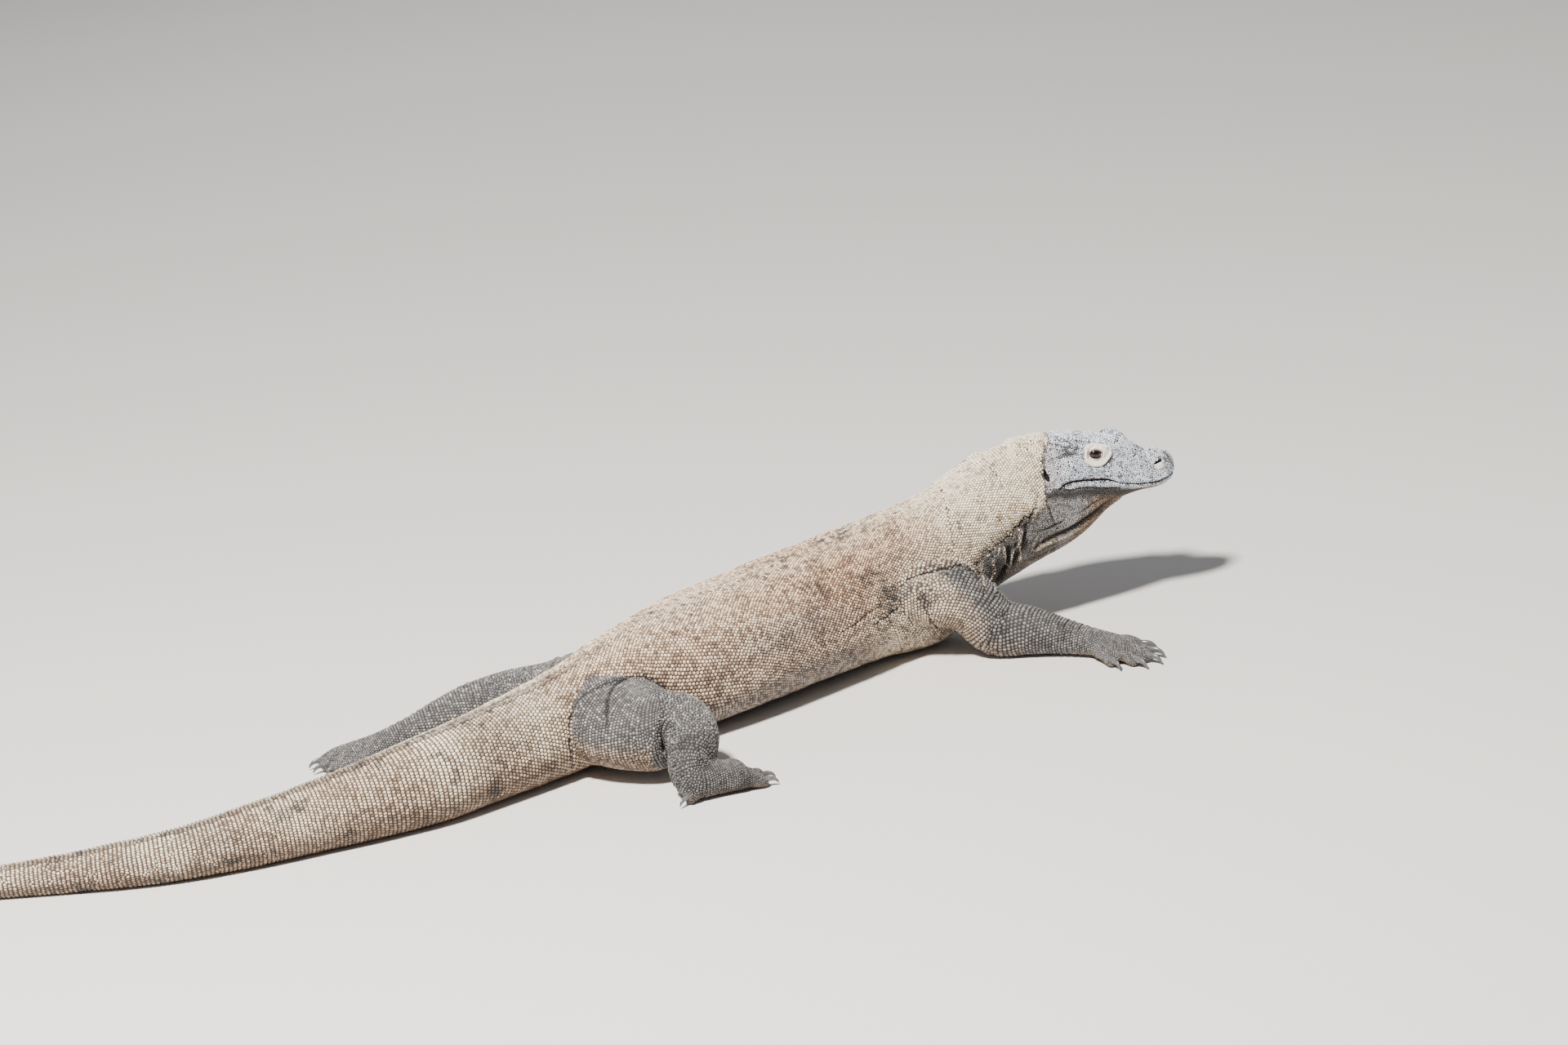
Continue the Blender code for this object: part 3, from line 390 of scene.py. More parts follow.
def carve(P, N, reg, loc, H):
    """Folds and openings as moves along the normal, in mm, plus the painted shade laid in each crease, fold and
    opening.
    """
    U, W, V = H.T; A = abs(W); d = np.zeros(len(P)); dark = np.zeros(len(P))
    near = (U > -175) & (A < 130) & (V > -190)
    i = np.where(near)[0]; u, a, v = U[i], A[i], V[i]; dd = np.zeros(len(i)); dk = np.zeros(len(i))
    side = sstep(a, 6, 18)
    # mouth, lips, with painted shade along the mouth line, in the groove above it and under the lower lip
    m, al, sg = polyline(u, v, MOUTH)
    mw = 1.25 + 1.35 * sstep(95 - u, 0, 22) * sstep(u, 2, 14)
    dd -= 2.6 * gauss(m, mw) + 0.7 * gauss(m, 3.4); dk += 1.0 * gauss(m, mw * 1.05)
    up = (sg < 0)                                         # the line runs from snout to jaw corner: its right is above
    dd += np.where(up, 1.0 * gauss(m - 4, 3.0), 0.5 * gauss(m - 4, 2.6))
    lo, _, ls = polyline(u, v, LIP_LOW)
    rear = sstep(112 - u, 0, 30)
    dd -= 1.8 * gauss(lo, 1.7) * sstep(a, 5, 14) * (.4 + .6 * rear); dk += 1.0 * gauss(lo, 2.4) * rear + .8 * gauss(ls - 5, 4.5) * rear * sstep(ls, 0, 1.5)
    gr, _, _ = polyline(u, v, ((46, 6), (63, 4.8), (77, 2.6), (91, .3), (107, -1.8), (121, -2.3), (133, -1.2)))
    dd -= .5 * gauss(gr, .9) * side; dk += .55 * gauss(gr, .9) * side
    dd -= 1.6 * gauss(lo - 7, 6.5) * (v < np.interp(u, [p[0] for p in LIP_LOW[::-1]], [p[1] for p in LIP_LOW[::-1]])) * sstep(u, -5, 20) * (1 - sstep(u, 120, 165))
    # ear, its opening darkened with painted shade
    e, ea, es = polyline(u, v, EAR)
    wid = 3.9 * np.sin(np.clip(ea, 0.02, 0.98) ** 1.5 * np.pi) ** 0.6
    dd -= 8.5 * (1 - sstep(e, wid * 0.35, wid * 1.25)) * side; dk += (1 - sstep(e, wid * .6, wid * 1.35)) * side
    dd += 1.3 * gauss(e - 6, 3.0) * side * (es > 0)
    # head border with painted shade in its crease, cheek swelling behind the mouth
    b, ba, bs = polyline(u, v, BORDER)
    dd -= 1.5 * gauss(b, 2.0) * (0.35 + 0.65 * side); dk += 0.75 * gauss(b, 1.7)
    dd += 1.8 * gauss(np.hypot((u - 12) / 1.3, v - 16), 16) * side
    # nuchal fold with a scalloped edge, the crevice below it; painted shade under the fold's edge, along its soft upper
    # end and in the crevices, kept off the pleat crests
    n, na, ns = polyline(u, v, NUCHAL)
    ns = -ns + 2.4 * np.sin(na * 44) + 1.2 * np.sin(na * 97 + 1)       # positive in front and below
    g = sstep(na, 0.02, 0.22) * side * (1 - 0.4 * sstep(na, .88, 1))
    dd += g * np.where(ns < 0, 4.4 * np.exp(np.minimum(ns, 0) / 14), 4.4 - 12.0 * sstep(ns, 0, 3.6) * np.exp(-np.maximum(ns - 3.6, 0) / (9 + 16 * sstep(na, .3, .5))))
    dk += g * np.where(ns < -.5, 0, gauss(np.maximum(ns - 1.5, 0), 3.0 + 2.5 * sstep(na, .35, .6))) * 1.0
    f, fa, fs = polyline(u, v, FOLD)
    dd += side * np.sin(np.clip(fa, .03, .97) * np.pi) ** .5 * (1.9 * gauss(f, 3.6) - 1.4 * gauss(fs - 5.5, 2.2)); dk += .30 * side * gauss(fs - 5.5, 1.8) * sstep(fa, .1, .4)
    for j, line in enumerate(CREVICE):
        c, ca, cs = polyline(u, v, line)
        dd -= (5.5, 7.5, 5.5)[j] * gauss(c, (4.6, 5.6, 3.6)[j]) * side; dk += 0.9 * gauss(c, (4.2, 5.6, 3.4)[j]) * side
    for j, line in enumerate(PLEAT):
        p, pa, ps = polyline(u, v, line)
        dd += (4.0, 3.2, 2.4, 3.0)[j] * gauss(p, 2.4) * side; dk -= 1.0 * gauss(p, 1.9) * side
    # lengthwise throat folds, with painted shade in each
    for j, line in enumerate(GULAR):
        t, ta, ts = polyline(u, v, line); w = np.sin(np.clip(ta, 0.03, 0.97) * np.pi) ** 0.5
        dd -= (1.9, 3.8, 1.1, 1.6, 1.6)[j] * gauss(t, (1.6, 3.6, 1.8, 2.0, 2.4)[j]) * w * sstep(a, 3, 10)
        dd += (1.2, 1.6, .6, .8, .9)[j] * gauss(t - 5.5, 3.6) * w * sstep(a, 3, 10)
        dk += (.75, .95, .30, .45, .5)[j] * gauss(t, (1.4, 4.2, 1.6, 1.8, 2.2)[j]) * w * sstep(a, 3, 10)
    p, pa, ps = polyline(u, v, HIGHLIGHT_RIDGE)
    dd += 2.2 * gauss(p, 2.2) * sstep(pa, .0, .1) * sstep(a, 3, 10)
    w = np.sin((u * .9 - v * .35) * 2 * np.pi / 8.5 + 1.5 * np.sin(v * .13))       # slack skin behind and below
    # painted shade in the troughs of the slack skin
    sl = side * gauss(np.hypot((u + 42) / 1.3, v + 84), 15); dd += .9 * sl * w; dk += .35 * sl * sstep(-w, .3, 1)
    # nostril, its opening darkened with painted shade
    q, q2 = nostril(u, v)
    dd -= 6.0 * (1 - sstep(q, 0.55, 1.05)) * side; dk += (1 - sstep(q, 0.85, 1.1)) * side
    dd += (1.0 * gauss(q - 1.6, 0.5) + .8 * gauss(q2, .8)) * side
    # crown plates edge, brow ridge, snout ridge
    dd += 1.4 * gauss(u - 97, 13) * gauss(a - 32, 10) * sstep(v, 42, 48) - 7.0 * gauss(u - 79, 9) * sstep(v, 46, 54) + 7.0 * gauss(u - 108, 12) * gauss(a - 22, 20) * sstep(v, 32, 41) - 3.6 * gauss(u - 67, 13) * gauss(a - 30, 15) * sstep(v, 42, 48)
    dd -= 4.8 * sstep(u, 114, 134) * (1 - .55 * sstep(u, 138, 152)) * (1 - sstep(u, 166, 182)) * sstep(v, 22, 34)
    dd += np.interp(u, BROW_U, BROW_D) * sstep(v, 30, 40) - 2.6 * gauss(u - 170, 12) * sstep(v, 14, 25)
    dd -= 1.6 * gauss(np.hypot((u - 66) / 3.0, a / 1.0), 14) * (v > 40)
    # lids: a broad raised ring bedded on the eyeball, with a crease round it; painted shade in that crease and in the
    # folds of the lids
    q, lid, rad, ex, ey, lx, ly = eye_fields(H[i])
    ok = (v > 5) & (v < 62) & (a > 28)
    an = np.degrees(np.arctan2(ly, lx)); front = gauss(an + 32, 42)
    dd -= ok * (2.6 * front + .8 * sstep(-ly, -2, 6)) * gauss(lid - 1.13, 0.075); dk += ok * gauss(lid - 1.13, 0.07 + .02 * front) * (1.0 * front + .38 * sstep(-ly, 0, 8))
    dd += ok * (0.9 * gauss(lid - 0.90, 0.10) + 1.3 * front * gauss(lid - 1.32, .10))
    for k, (l0, dp) in enumerate(((.60, .9), (.78, .6))):                          # folds of the lower lid
        dd -= ok * dp * gauss(lid - l0, 0.045) * sstep(-ly, -3, 5); dk += ok * (.34, .22)[k] * gauss(lid - l0, 0.035) * sstep(-ly, -3, 5)
    dd -= ok * .8 * gauss(lid - .66, .05) * sstep(ly, 0, 6); dk += ok * .30 * gauss(lid - .66, .04) * sstep(ly, 0, 6)
    dd += ok * 1.6 * gauss(ly - 17.5, 3.0) * gauss(lx - 4, 22)                     # edge of the brow
    d[i] = dd; dark[i] = dk
    # creases where limbs meet the body, with painted shade in them
    fb = loc["body"][3]
    for n in NAMES[1:]:
        s, a_, b_, f = loc[n]; ax = LIMBS[n]
        near = (f < 1.9) & (fb < 1.9); x = f - fb
        k = 3.4 if "leg" in n else 3.0
        arc = 1.0 if "leg" in n else sstep(b_ / np.interp(s, ax.t, ax.up), .15, .6)
        if n == "arm_right": arc = arc * 0
        if n == "leg_right": arc = .30
        d -= near * k * arc * gauss(x, 0.075); dark += near * 0.85 * arc * gauss(x, 0.07)
        if "leg" in n:                                     # skin fold beside the tail base
            d += near * 2.2 * gauss(x + 0.16, 0.09)
        # wrinkles across the elbow, wrist and ankle
        r = s / ax.L
        for c, w, hgt in ((0.46, .05, .9), (0.74, .05, .9), (0.82, .04, .8)) if "arm" in n else ((0.50, .06, 1.0), (0.72, .05, .9), (0.80, .04, .8)):
            d += (reg == NAMES.index(n)) * hgt * gauss(r - c, w) * np.cos((s + 0.25 * b_) * 2 * np.pi / 0.0105)
    # the creases of the right side, with painted shade along each
    for pts, w, dp, k in CREASES:
        c, ca, cs, ok = crease_at(P, pts); ends = np.sin(np.clip(ca, .04, .96) * np.pi) ** .4
        d += ok * ends * (-dp * gauss(c, w) + .35 * dp * gauss(c - 2.6 * w, 1.5 * w)); dark = np.maximum(dark, ok * ends * k * gauss(c, w * .85))
    # loose skin: broad soft waves and finer ones low on the flank and by the armpit, with painted shade in the troughs
    # of the finer ones
    s, a_, b_, f = loc["body"]
    low = fbm(P, 11, 2, 1.0); mid = fbm(P * np.array([1, 1.6, 1.6]), 30, 2, 2.0)
    trunk = (reg == 0) * sstep(s, BODY.L * 0.42, BODY.L * 0.55)
    d += 1.2 * low * (reg != 5) + 0.7 * mid * trunk
    pit = trunk * gauss(P[:, 0] - 0.50, 0.075) * sstep(-a_, 0.05, 0.085) * sstep(-b_, -0.05, 0.02)
    w = np.sin((P[:, 0] * 0.75 + P[:, 2] * 1.0 + 0.004 * mid) * 2 * np.pi / 0.021)
    d += 0.9 * pit * w; dark += 0.35 * pit * sstep(-w, 0.4, 1)
    # hollow behind the upper arm, with painted shade in it
    h = np.linalg.norm((P - (0.547, -0.083, 0.101)) * (1, 1, .8), axis=1); d -= 4.0 * gauss(h, .012); dark += .9 * gauss(h, .013)
    # tail: a low double crest along its top
    tail = (reg == 0) * (1 - sstep(s, BODY.L * 0.40, BODY.L * 0.52))
    d += tail * 1.6 * gauss(a_, 0.006) * (b_ > 0)
    return d, np.clip(dark, 0, 1)


def laplace(P, E, n, w, mask):
    deg = np.bincount(E.ravel(), minlength=len(P)).astype(float)[:, None]; mask = np.asarray(mask, float)[:, None]
    for _ in range(n):
        S = np.stack([np.bincount(E[:, 0], P[E[:, 1], c], len(P)) + np.bincount(E[:, 1], P[E[:, 0], c], len(P)) for c in range(3)], 1)
        P = P + w * mask * (S / deg - P)
    return P


def arrays(me):
    P = np.empty(len(me.vertices) * 3, np.float32); me.vertices.foreach_get("co", P)
    N = np.empty(len(me.vertices) * 3, np.float32); me.vertex_normals.foreach_get("vector", N)
    E = np.empty(len(me.edges) * 2, np.int32); me.edges.foreach_get("vertices", E)
    return P.reshape(-1, 3).astype(float), N.reshape(-1, 3).astype(float), E.reshape(-1, 2)


def put(me, P):
    me.vertices.foreach_set("co", P.astype(np.float32).ravel()); me.update()


def refine(me, want):
    """Halve the edges of the faces that want(centres) picks."""
    C = np.empty(len(me.polygons) * 3, np.float32); me.polygons.foreach_get("center", C); pick = want(C.reshape(-1, 3).astype(float))
    bm = bmesh.new(); bm.from_mesh(me); bm.faces.ensure_lookup_table()
    edges = {e for i in np.where(pick)[0] for e in bm.faces[i].edges}
    bmesh.ops.subdivide_edges(bm, edges=list(edges), cuts=1, use_grid_fill=True)
    bm.to_mesh(me); bm.free()
    return me


def build_skin():
    lofts = [body_loft(300, 80), head_loft(130, 80)]
    lofts += [tube(t, 70, 44) for t in (ARM_R, ARM_L, LEG_R, LEG_L)]
    for key in FEET:
        lofts += [tube(toe, 24, 24, 2.1) for toe, claw in digits(key)]
    V, F, o = [], [], 0
    for p, f in lofts:
        V.append(p); F += [tuple(i + o for i in q) for q in f]; o += len(p)
    me = bpy.data.meshes.new("skin"); me.from_pydata(np.vstack(V).tolist(), [], F); me.update()
    ob = bpy.data.objects.new("skin", me); bpy.context.scene.collection.objects.link(ob)
    md = ob.modifiers.new("voxels", "REMESH"); md.mode = "VOXEL"; md.voxel_size = VOXEL; md.adaptivity = 0.0
    dg = bpy.context.evaluated_depsgraph_get(); new = bpy.data.meshes.new_from_object(ob.evaluated_get(dg))
    ob.modifiers.clear(); ob.data = new; bpy.data.meshes.remove(me); me = new; me.name = "skin"
    P, N, E = arrays(me); P = laplace(P, E, 5, 0.5, np.ones(len(P))); put(me, P)
    # finer over head and throat, finer still at the eye, mouth, nostril and ear
    def want1(c):
        H = head_coords(c); return (H[:, 0] > -140) & (abs(H[:, 1]) < 110) & (H[:, 2] > -175)
    def want2(c):
        H = head_coords(c); m, _, _ = polyline(H[:, 0], H[:, 2], MOUTH); l, _, _ = polyline(H[:, 0], H[:, 2], LIP_LOW)
        n = np.hypot(H[:, 0] - 158, H[:, 2] - 11.5); e, _, _ = polyline(H[:, 0], H[:, 2], EAR); q, lid, *_ = eye_fields(H)
        f, _, _ = polyline(H[:, 0], H[:, 2], NUCHAL)
        side = abs(H[:, 1]) > 12
        return (H[:, 0] > -150) & ((np.minimum(m, l) < 5) | (side & ((n < 13) | (e < 8) | (lid < 1.35) | (f < 9))))
    def want3(c):
        H = head_coords(c); q, lid, *_ = eye_fields(H); return (q < 1.7) & (abs(H[:, 1]) > 25) & (H[:, 2] > 10) & (H[:, 2] < 60)
    for k, w in enumerate((want1, want2, want3)):
        refine(me, w); P, N, E = arrays(me)
        P = laplace(P, E, (3, 3, 2)[k], 0.5, w(P)); put(me, P)
    P, N, E = arrays(me)
    P = P + N * 0.0006
    reg, toe, which, loc, H = regions(P)
    d, dark = carve(P, N, reg, loc, H)
    depth = np.where(reg == 5, 0.75, 1.25) * np.where(toe > 0, 0.6, 1.0)
    P = P + N * (d - depth)[:, None] * 0.001
    # lids bedded on the eyeballs; the skin inside the opening sinks into them
    H = head_coords(P); q, lid, rad, ex, ey, lx, ly = eye_fields(H); A = abs(H[:, 1])
    ok = (A > 22) & (H[:, 2] > 8) & (H[:, 2] < 62) & (H[:, 0] > 30) & (H[:, 0] < 95)
    ball = EYE_Y + np.sqrt(np.maximum((EYE_R + 1.2) ** 2 - rad ** 2, 0.0))
    on = ok & (rad < EYE_R + 1.1) & (q >= 0.93)
    t = np.where(on, 1 - sstep(rad, 9.5, EYE_R + 1.1), 0.0); t = np.maximum(t, on * (1 - sstep(q, 1.0, 1.6)))
    A2 = A * (1 - t) + ball * t
    hole = ok & (q < 0.93); A2 = np.where(hole, np.minimum(A, EYE_Y + 3.0 + 5.0 * sstep(q, .7, .93)), A2)
    H[:, 1] = np.sign(H[:, 1]) * A2
    P = np.array(HEAD_O) + (H / 1000) @ HAX
    P[:, 2] = np.maximum(P[:, 2], 0.0007)
    put(me, P); P, N, E = arrays(me)
    keep = ~(ok & (q < 1.3)); P2 = laplace(P, E, 1, 0.35, keep & (reg == 5)); P2[:, 2] = np.maximum(P2[:, 2], 0.0007); put(me, P2)
    return ob, me, dark


VOXEL = 0.0036


# ------------------------------------------------------------------ scale roots
ST = {row[0]: BODY.t[np.argmin(np.linalg.norm(BODY.C - np.array(row[1:4]), axis=1))] for row in SPINE}
PITCH = (  # station, spacing along the body, spacing round it (mm), lean of the rows, stagger
    ("tip", 5.4, 2.8, 0, .3), ("t80", 6.3, 3.4, 0, .35), ("t60", 6.3, 3.5, 0, .2), ("t50", 6.1, 3.6, 0, .06), ("t35", 5.6, 4.0, 0, .5),
    ("t20", 6.2, 4.9, 0, .5), ("t10", 5.5, 5.6, 0, .5), ("vent", 4.7, 6.2, 0, .5), ("hip", 4.4, 6.2, .1, .5), ("groin", 4.4, 5.7, .3, .5),
    ("mid", 4.25, 5.4, .5, .5), ("rib", 4.05, 5.3, .5, .5), ("axil", 3.95, 5.2, .4, .5), ("shld", 4.1, 5.3, .2, .5),
    ("nek1", 3.9, 4.7, 0, .5), ("nek2", 3.8, 4.6, 0, .5), ("occ", 3.7, 4.2, 0, .5))
PT = np.array([ST[p[0]] for p in PITCH]); PV = np.array([p[1:] for p in PITCH])
LIMB_PITCH = {"arm": ((0, 4.7, 5.1), (.28, 4.8, 5.2), (.45, 5.7, 6.3), (.56, 5.7, 6.2), (.66, 5.1, 5.5), (.76, 4.4, 4.8), (.84, 3.8, 4.1), (.92, 3.5, 3.7), (1, 3.2, 3.4)),
              "leg": ((0, 4.0, 4.5), (.31, 4.0, 4.5), (.5, 4.4, 4.8), (.66, 4.8, 5.1), (.78, 4.2, 4.5), (.86, 3.8, 4.0), (.93, 3.5, 3.7), (1, 3.2, 3.4))}


def at(ax, s):
    f = lambda q: np.stack([np.interp(s, ax.t, q[:, c]) for c in range(3)], 1)
    T, S = f(ax.T), f(ax.S); T /= np.linalg.norm(T, axis=1)[:, None]; S /= np.linalg.norm(S, axis=1)[:, None]
    return f(ax.C), T, S, np.cross(T, S), np.interp(s, ax.t, ax.w), np.interp(s, ax.t, ax.up), np.interp(s, ax.t, ax.dn)


def lattice(ax, start, end, pitch, lean=lambda s: 0.0, stagger=lambda s: 0.5, wide=lambda a: 1.0):
    """Rows of roots on the form round an axis: position, axis direction, spacing along and across."""
    out = []; s = start; row = 0; drift = 0.0; n = 0; rng = np.random.default_rng(int(start * 1e6) % 9973 + len(ax.t))
    th = np.linspace(0, 2 * np.pi, 181); c, sn = np.cos(th), np.sin(th)
    cx = np.sign(sn) * abs(sn) ** (2 / ax.n); cz = np.sign(c) * abs(c) ** (2 / ax.n)       # starts at the top
    while s < end:
        pr, pc = pitch(s)
        w, up, dn = np.interp(s, ax.t, ax.w), np.interp(s, ax.t, ax.up), np.interp(s, ax.t, ax.dn)
        X = cx * w; Z = np.where(cz > 0, cz * up, cz * dn)
        d = np.hypot(np.diff(X), np.diff(Z)) / wide((th[1:] + th[:-1]) / 2); r = np.concatenate([[0], np.cumsum(d)])
        if n == 0: n = max(5, int(round(r[-1] / pc)))
        elif abs(r[-1] / pc - n) > 1.4: n = max(5, n + (1 if r[-1] / pc > n else -1))
        drift += stagger(s) + rng.uniform(-.02, .02)
        j = (np.arange(n) + (drift % 1.0)) / n * r[-1]; j = (j + rng.normal(0, .05, n) * pc) % r[-1]
        t = np.interp(j, r, th); a = np.where(j < r[-1] / 2, j, r[-1] - j)
        low = np.maximum(0, a - .42 * r[-1] / 2) - .04 * np.maximum(0, a - .42 * r[-1] / 2) ** 2
        ss = s + lean(s) * low + rng.normal(0, .045, n) * pr; ok = (ss > 0) & (ss < ax.L); ss, t = ss[ok], t[ok]
        if not len(ss): s += pr; continue
        C, T, S, U, w, up, dn = at(ax, ss)
        c2, s2 = np.cos(t), np.sin(t); x = np.sign(s2) * abs(s2) ** (2 / ax.n) * w; z = np.sign(c2) * abs(c2) ** (2 / ax.n); z = np.where(z > 0, z * up, z * dn)
        out.append(np.hstack([C + x[:, None] * S + z[:, None] * U, T, np.full((len(ss), 1), pr), np.full((len(ss), 1), pc)]))
        s += pr; row += 1
    return np.vstack(out)


def head_pitch(H):
    U, W, V = H.T; A = abs(W)
    p = np.full(len(H), 2.75)
    top = sstep(V, 44, 56) * sstep(A, 48, 38); p = p + top * (1.2 - .6 * sstep(U, 110, 150))
    p += 0.2 * sstep(U, 95, 125) - .3 * sstep(U, 165, 182)
    p += 0.35 * gauss(np.hypot(U - 5, V - 42), 22)
    q, lid, rad, ex, ey, lx, ly = eye_fields(H); near = (A > 28) & (V > 5) & (V < 60)
    p = np.where(near, p - (p - 1.75) * (1 - sstep(lid, .95, 1.2)), p)
    n1, n2 = nostril(U, V); p = np.where((A > 12) & (n2 < 1.25), 1.9, p)
    m, _, sg = polyline(U, V, MOUTH)
    return p


def gular_mask(H):
    """1 on the throat: below the jaw and in front of the nuchal fold."""
    U, W, V = H.T
    n, na, ns = polyline(U, V, NUCHAL)
    return (ns > 0) & (U < border_u(V)) & (V < 6) & (U > -165) & (abs(W) < 120) & (V > -200)


class Skin:
    """The finished skin as a tree that finds the nearest place on it."""
    def __init__(self, me):
        self.P, self.N, _ = arrays(me)
        me.calc_loop_triangles(); T = np.empty(len(me.loop_triangles) * 3, np.int32); me.loop_triangles.foreach_get("vertices", T)
        self.T = T.reshape(-1, 3); self.tree = BVHTree.FromPolygons(self.P.tolist(), self.T.tolist())
        a, b, c = (self.P[self.T[:, k]] for k in range(3)); self.area = 0.5 * np.linalg.norm(np.cross(b - a, c - a), axis=1)

    def nearest(self, Q):
        L = np.empty((len(Q), 3)); I = np.empty(len(Q), int); D = np.empty(len(Q)); f = self.tree.find_nearest
        for i, q in enumerate(Q.tolist()):
            co, no, k, d = f(q); L[i] = co; I[i] = k; D[i] = d
        n = self.N[self.T[I]].mean(1); n /= np.linalg.norm(n, axis=1)[:, None]
        return L, n, I, D

    def sample(self, count, rng, keep=None):
        a = self.area if keep is None else self.area * keep
        k = rng.choice(len(a), count, p=a / a.sum()); u, v = rng.random(count), rng.random(count); m = u + v > 1; u[m], v[m] = 1 - u[m], 1 - v[m]
        t = self.P[self.T[k]]; n = self.N[self.T[k]].mean(1); n /= np.linalg.norm(n, axis=1)[:, None]
        return t[:, 0] + u[:, None] * (t[:, 1] - t[:, 0]) + v[:, None] * (t[:, 2] - t[:, 0]), n


def greedy(P, spacing, N, taken=None, factor=0.7, cell=0.0075):
    """Keep points in order, dropping those too near to one already kept."""
    grid = {}; keep = []
    def add(p, r, n):
        grid.setdefault((int(p[0] // cell), int(p[1] // cell), int(p[2] // cell)), []).append((p[0], p[1], p[2], r, n[0], n[1], n[2]))
    if taken is not None:
        for p, r, n in zip(taken[0].tolist(), taken[1].tolist(), taken[2].tolist()): add(p, r, n)
    for i, (p, r, n) in enumerate(zip(P.tolist(), spacing.tolist(), N.tolist())):
        ci, cj, ck = int(p[0] // cell), int(p[1] // cell), int(p[2] // cell); ok = True
        for x in (ci - 1, ci, ci + 1):
            for y in (cj - 1, cj, cj + 1):
                for z in (ck - 1, ck, ck + 1):
                    for q in grid.get((x, y, z), ()):
                        lim = factor * (r + q[3]) * 0.5; dx = p[0] - q[0]
                        if -lim < dx < lim:
                            dy, dz = p[1] - q[1], p[2] - q[2]
                            if dx * dx + dy * dy + dz * dz < lim * lim and n[0] * q[4] + n[1] * q[5] + n[2] * q[6] > -0.2:
                                ok = False; break
                    if not ok: break
                if not ok: break
            if not ok: break
        if ok:
            keep.append(i); add(p, r, n)
    return np.array(keep, int)


def spacing_at(P, reg, toe, loc, H):
    """Mean spacing of the scales at any place, metres."""
    p = np.empty(len(P)); s = loc["body"][0]
    p[:] = np.sqrt(np.interp(s, PT, PV[:, 0]) * np.interp(s, PT, PV[:, 1])) * 1.02
    for i, n in enumerate(NAMES[1:], 1):
        t = np.array(LIMB_PITCH[n[:3]]); m = reg == i; r = loc[n][0][m] / LIMBS[n].L
        p[m] = np.sqrt(np.interp(r, t[:, 0], t[:, 1]) * np.interp(r, t[:, 0], t[:, 2])) * 1.03
    p[toe > 0] = 2.9
    h = reg == 5; p[h] = head_pitch(H[h])
    p[fold_edge(reg, H)] = 3.1
    g = gular_mask(H) & (reg == 0); p[g] = 2.9 + .8 * sstep(-H[g, 0], 70, 140)
    return p * 0.001


def fold_edge(reg, H):
    """The edge of the nuchal fold, where the scales turn small."""
    return (reg == 0) & (abs(H[:, 1]) > 12) & (polyline(H[:, 0], H[:, 2], NUCHAL)[0] < 5.5)


def in_crease(P):
    """Deep in a crease of the right side, where the skin lies bare."""
    out = np.zeros(len(P), bool)
    for pts, w, dp, k in CREASES:
        c, ca, cs, ok = crease_at(P, pts); out |= ok & (c < .50 * w) & (ca > .02) & (ca < .98)
    return out


def bare_at(reg, H):
    """Where no scale grows: the eye's opening, the mouth line, the nostril and the ear."""
    U, W, V = H.T; A = abs(W); q, lid, *_ = eye_fields(H); n1, n2 = nostril(U, V); m, _, _ = polyline(U, V, MOUTH); e, ea, _ = polyline(U, V, EAR)
    wid = 3.9 * np.sin(np.clip(ea, 0.02, 0.98) ** 1.5 * np.pi) ** 0.6
    out = (reg == 5) & ((A > 28) & (q < 1.20) & (V > 10) & (V < 60) | (m < .9 + 1.0 * sstep(92 - U, 0, 20) * sstep(U, 2, 14)) | (A > 12) & (n1 < 1.25))
    return out | (A > 35) & (e < wid * .95)


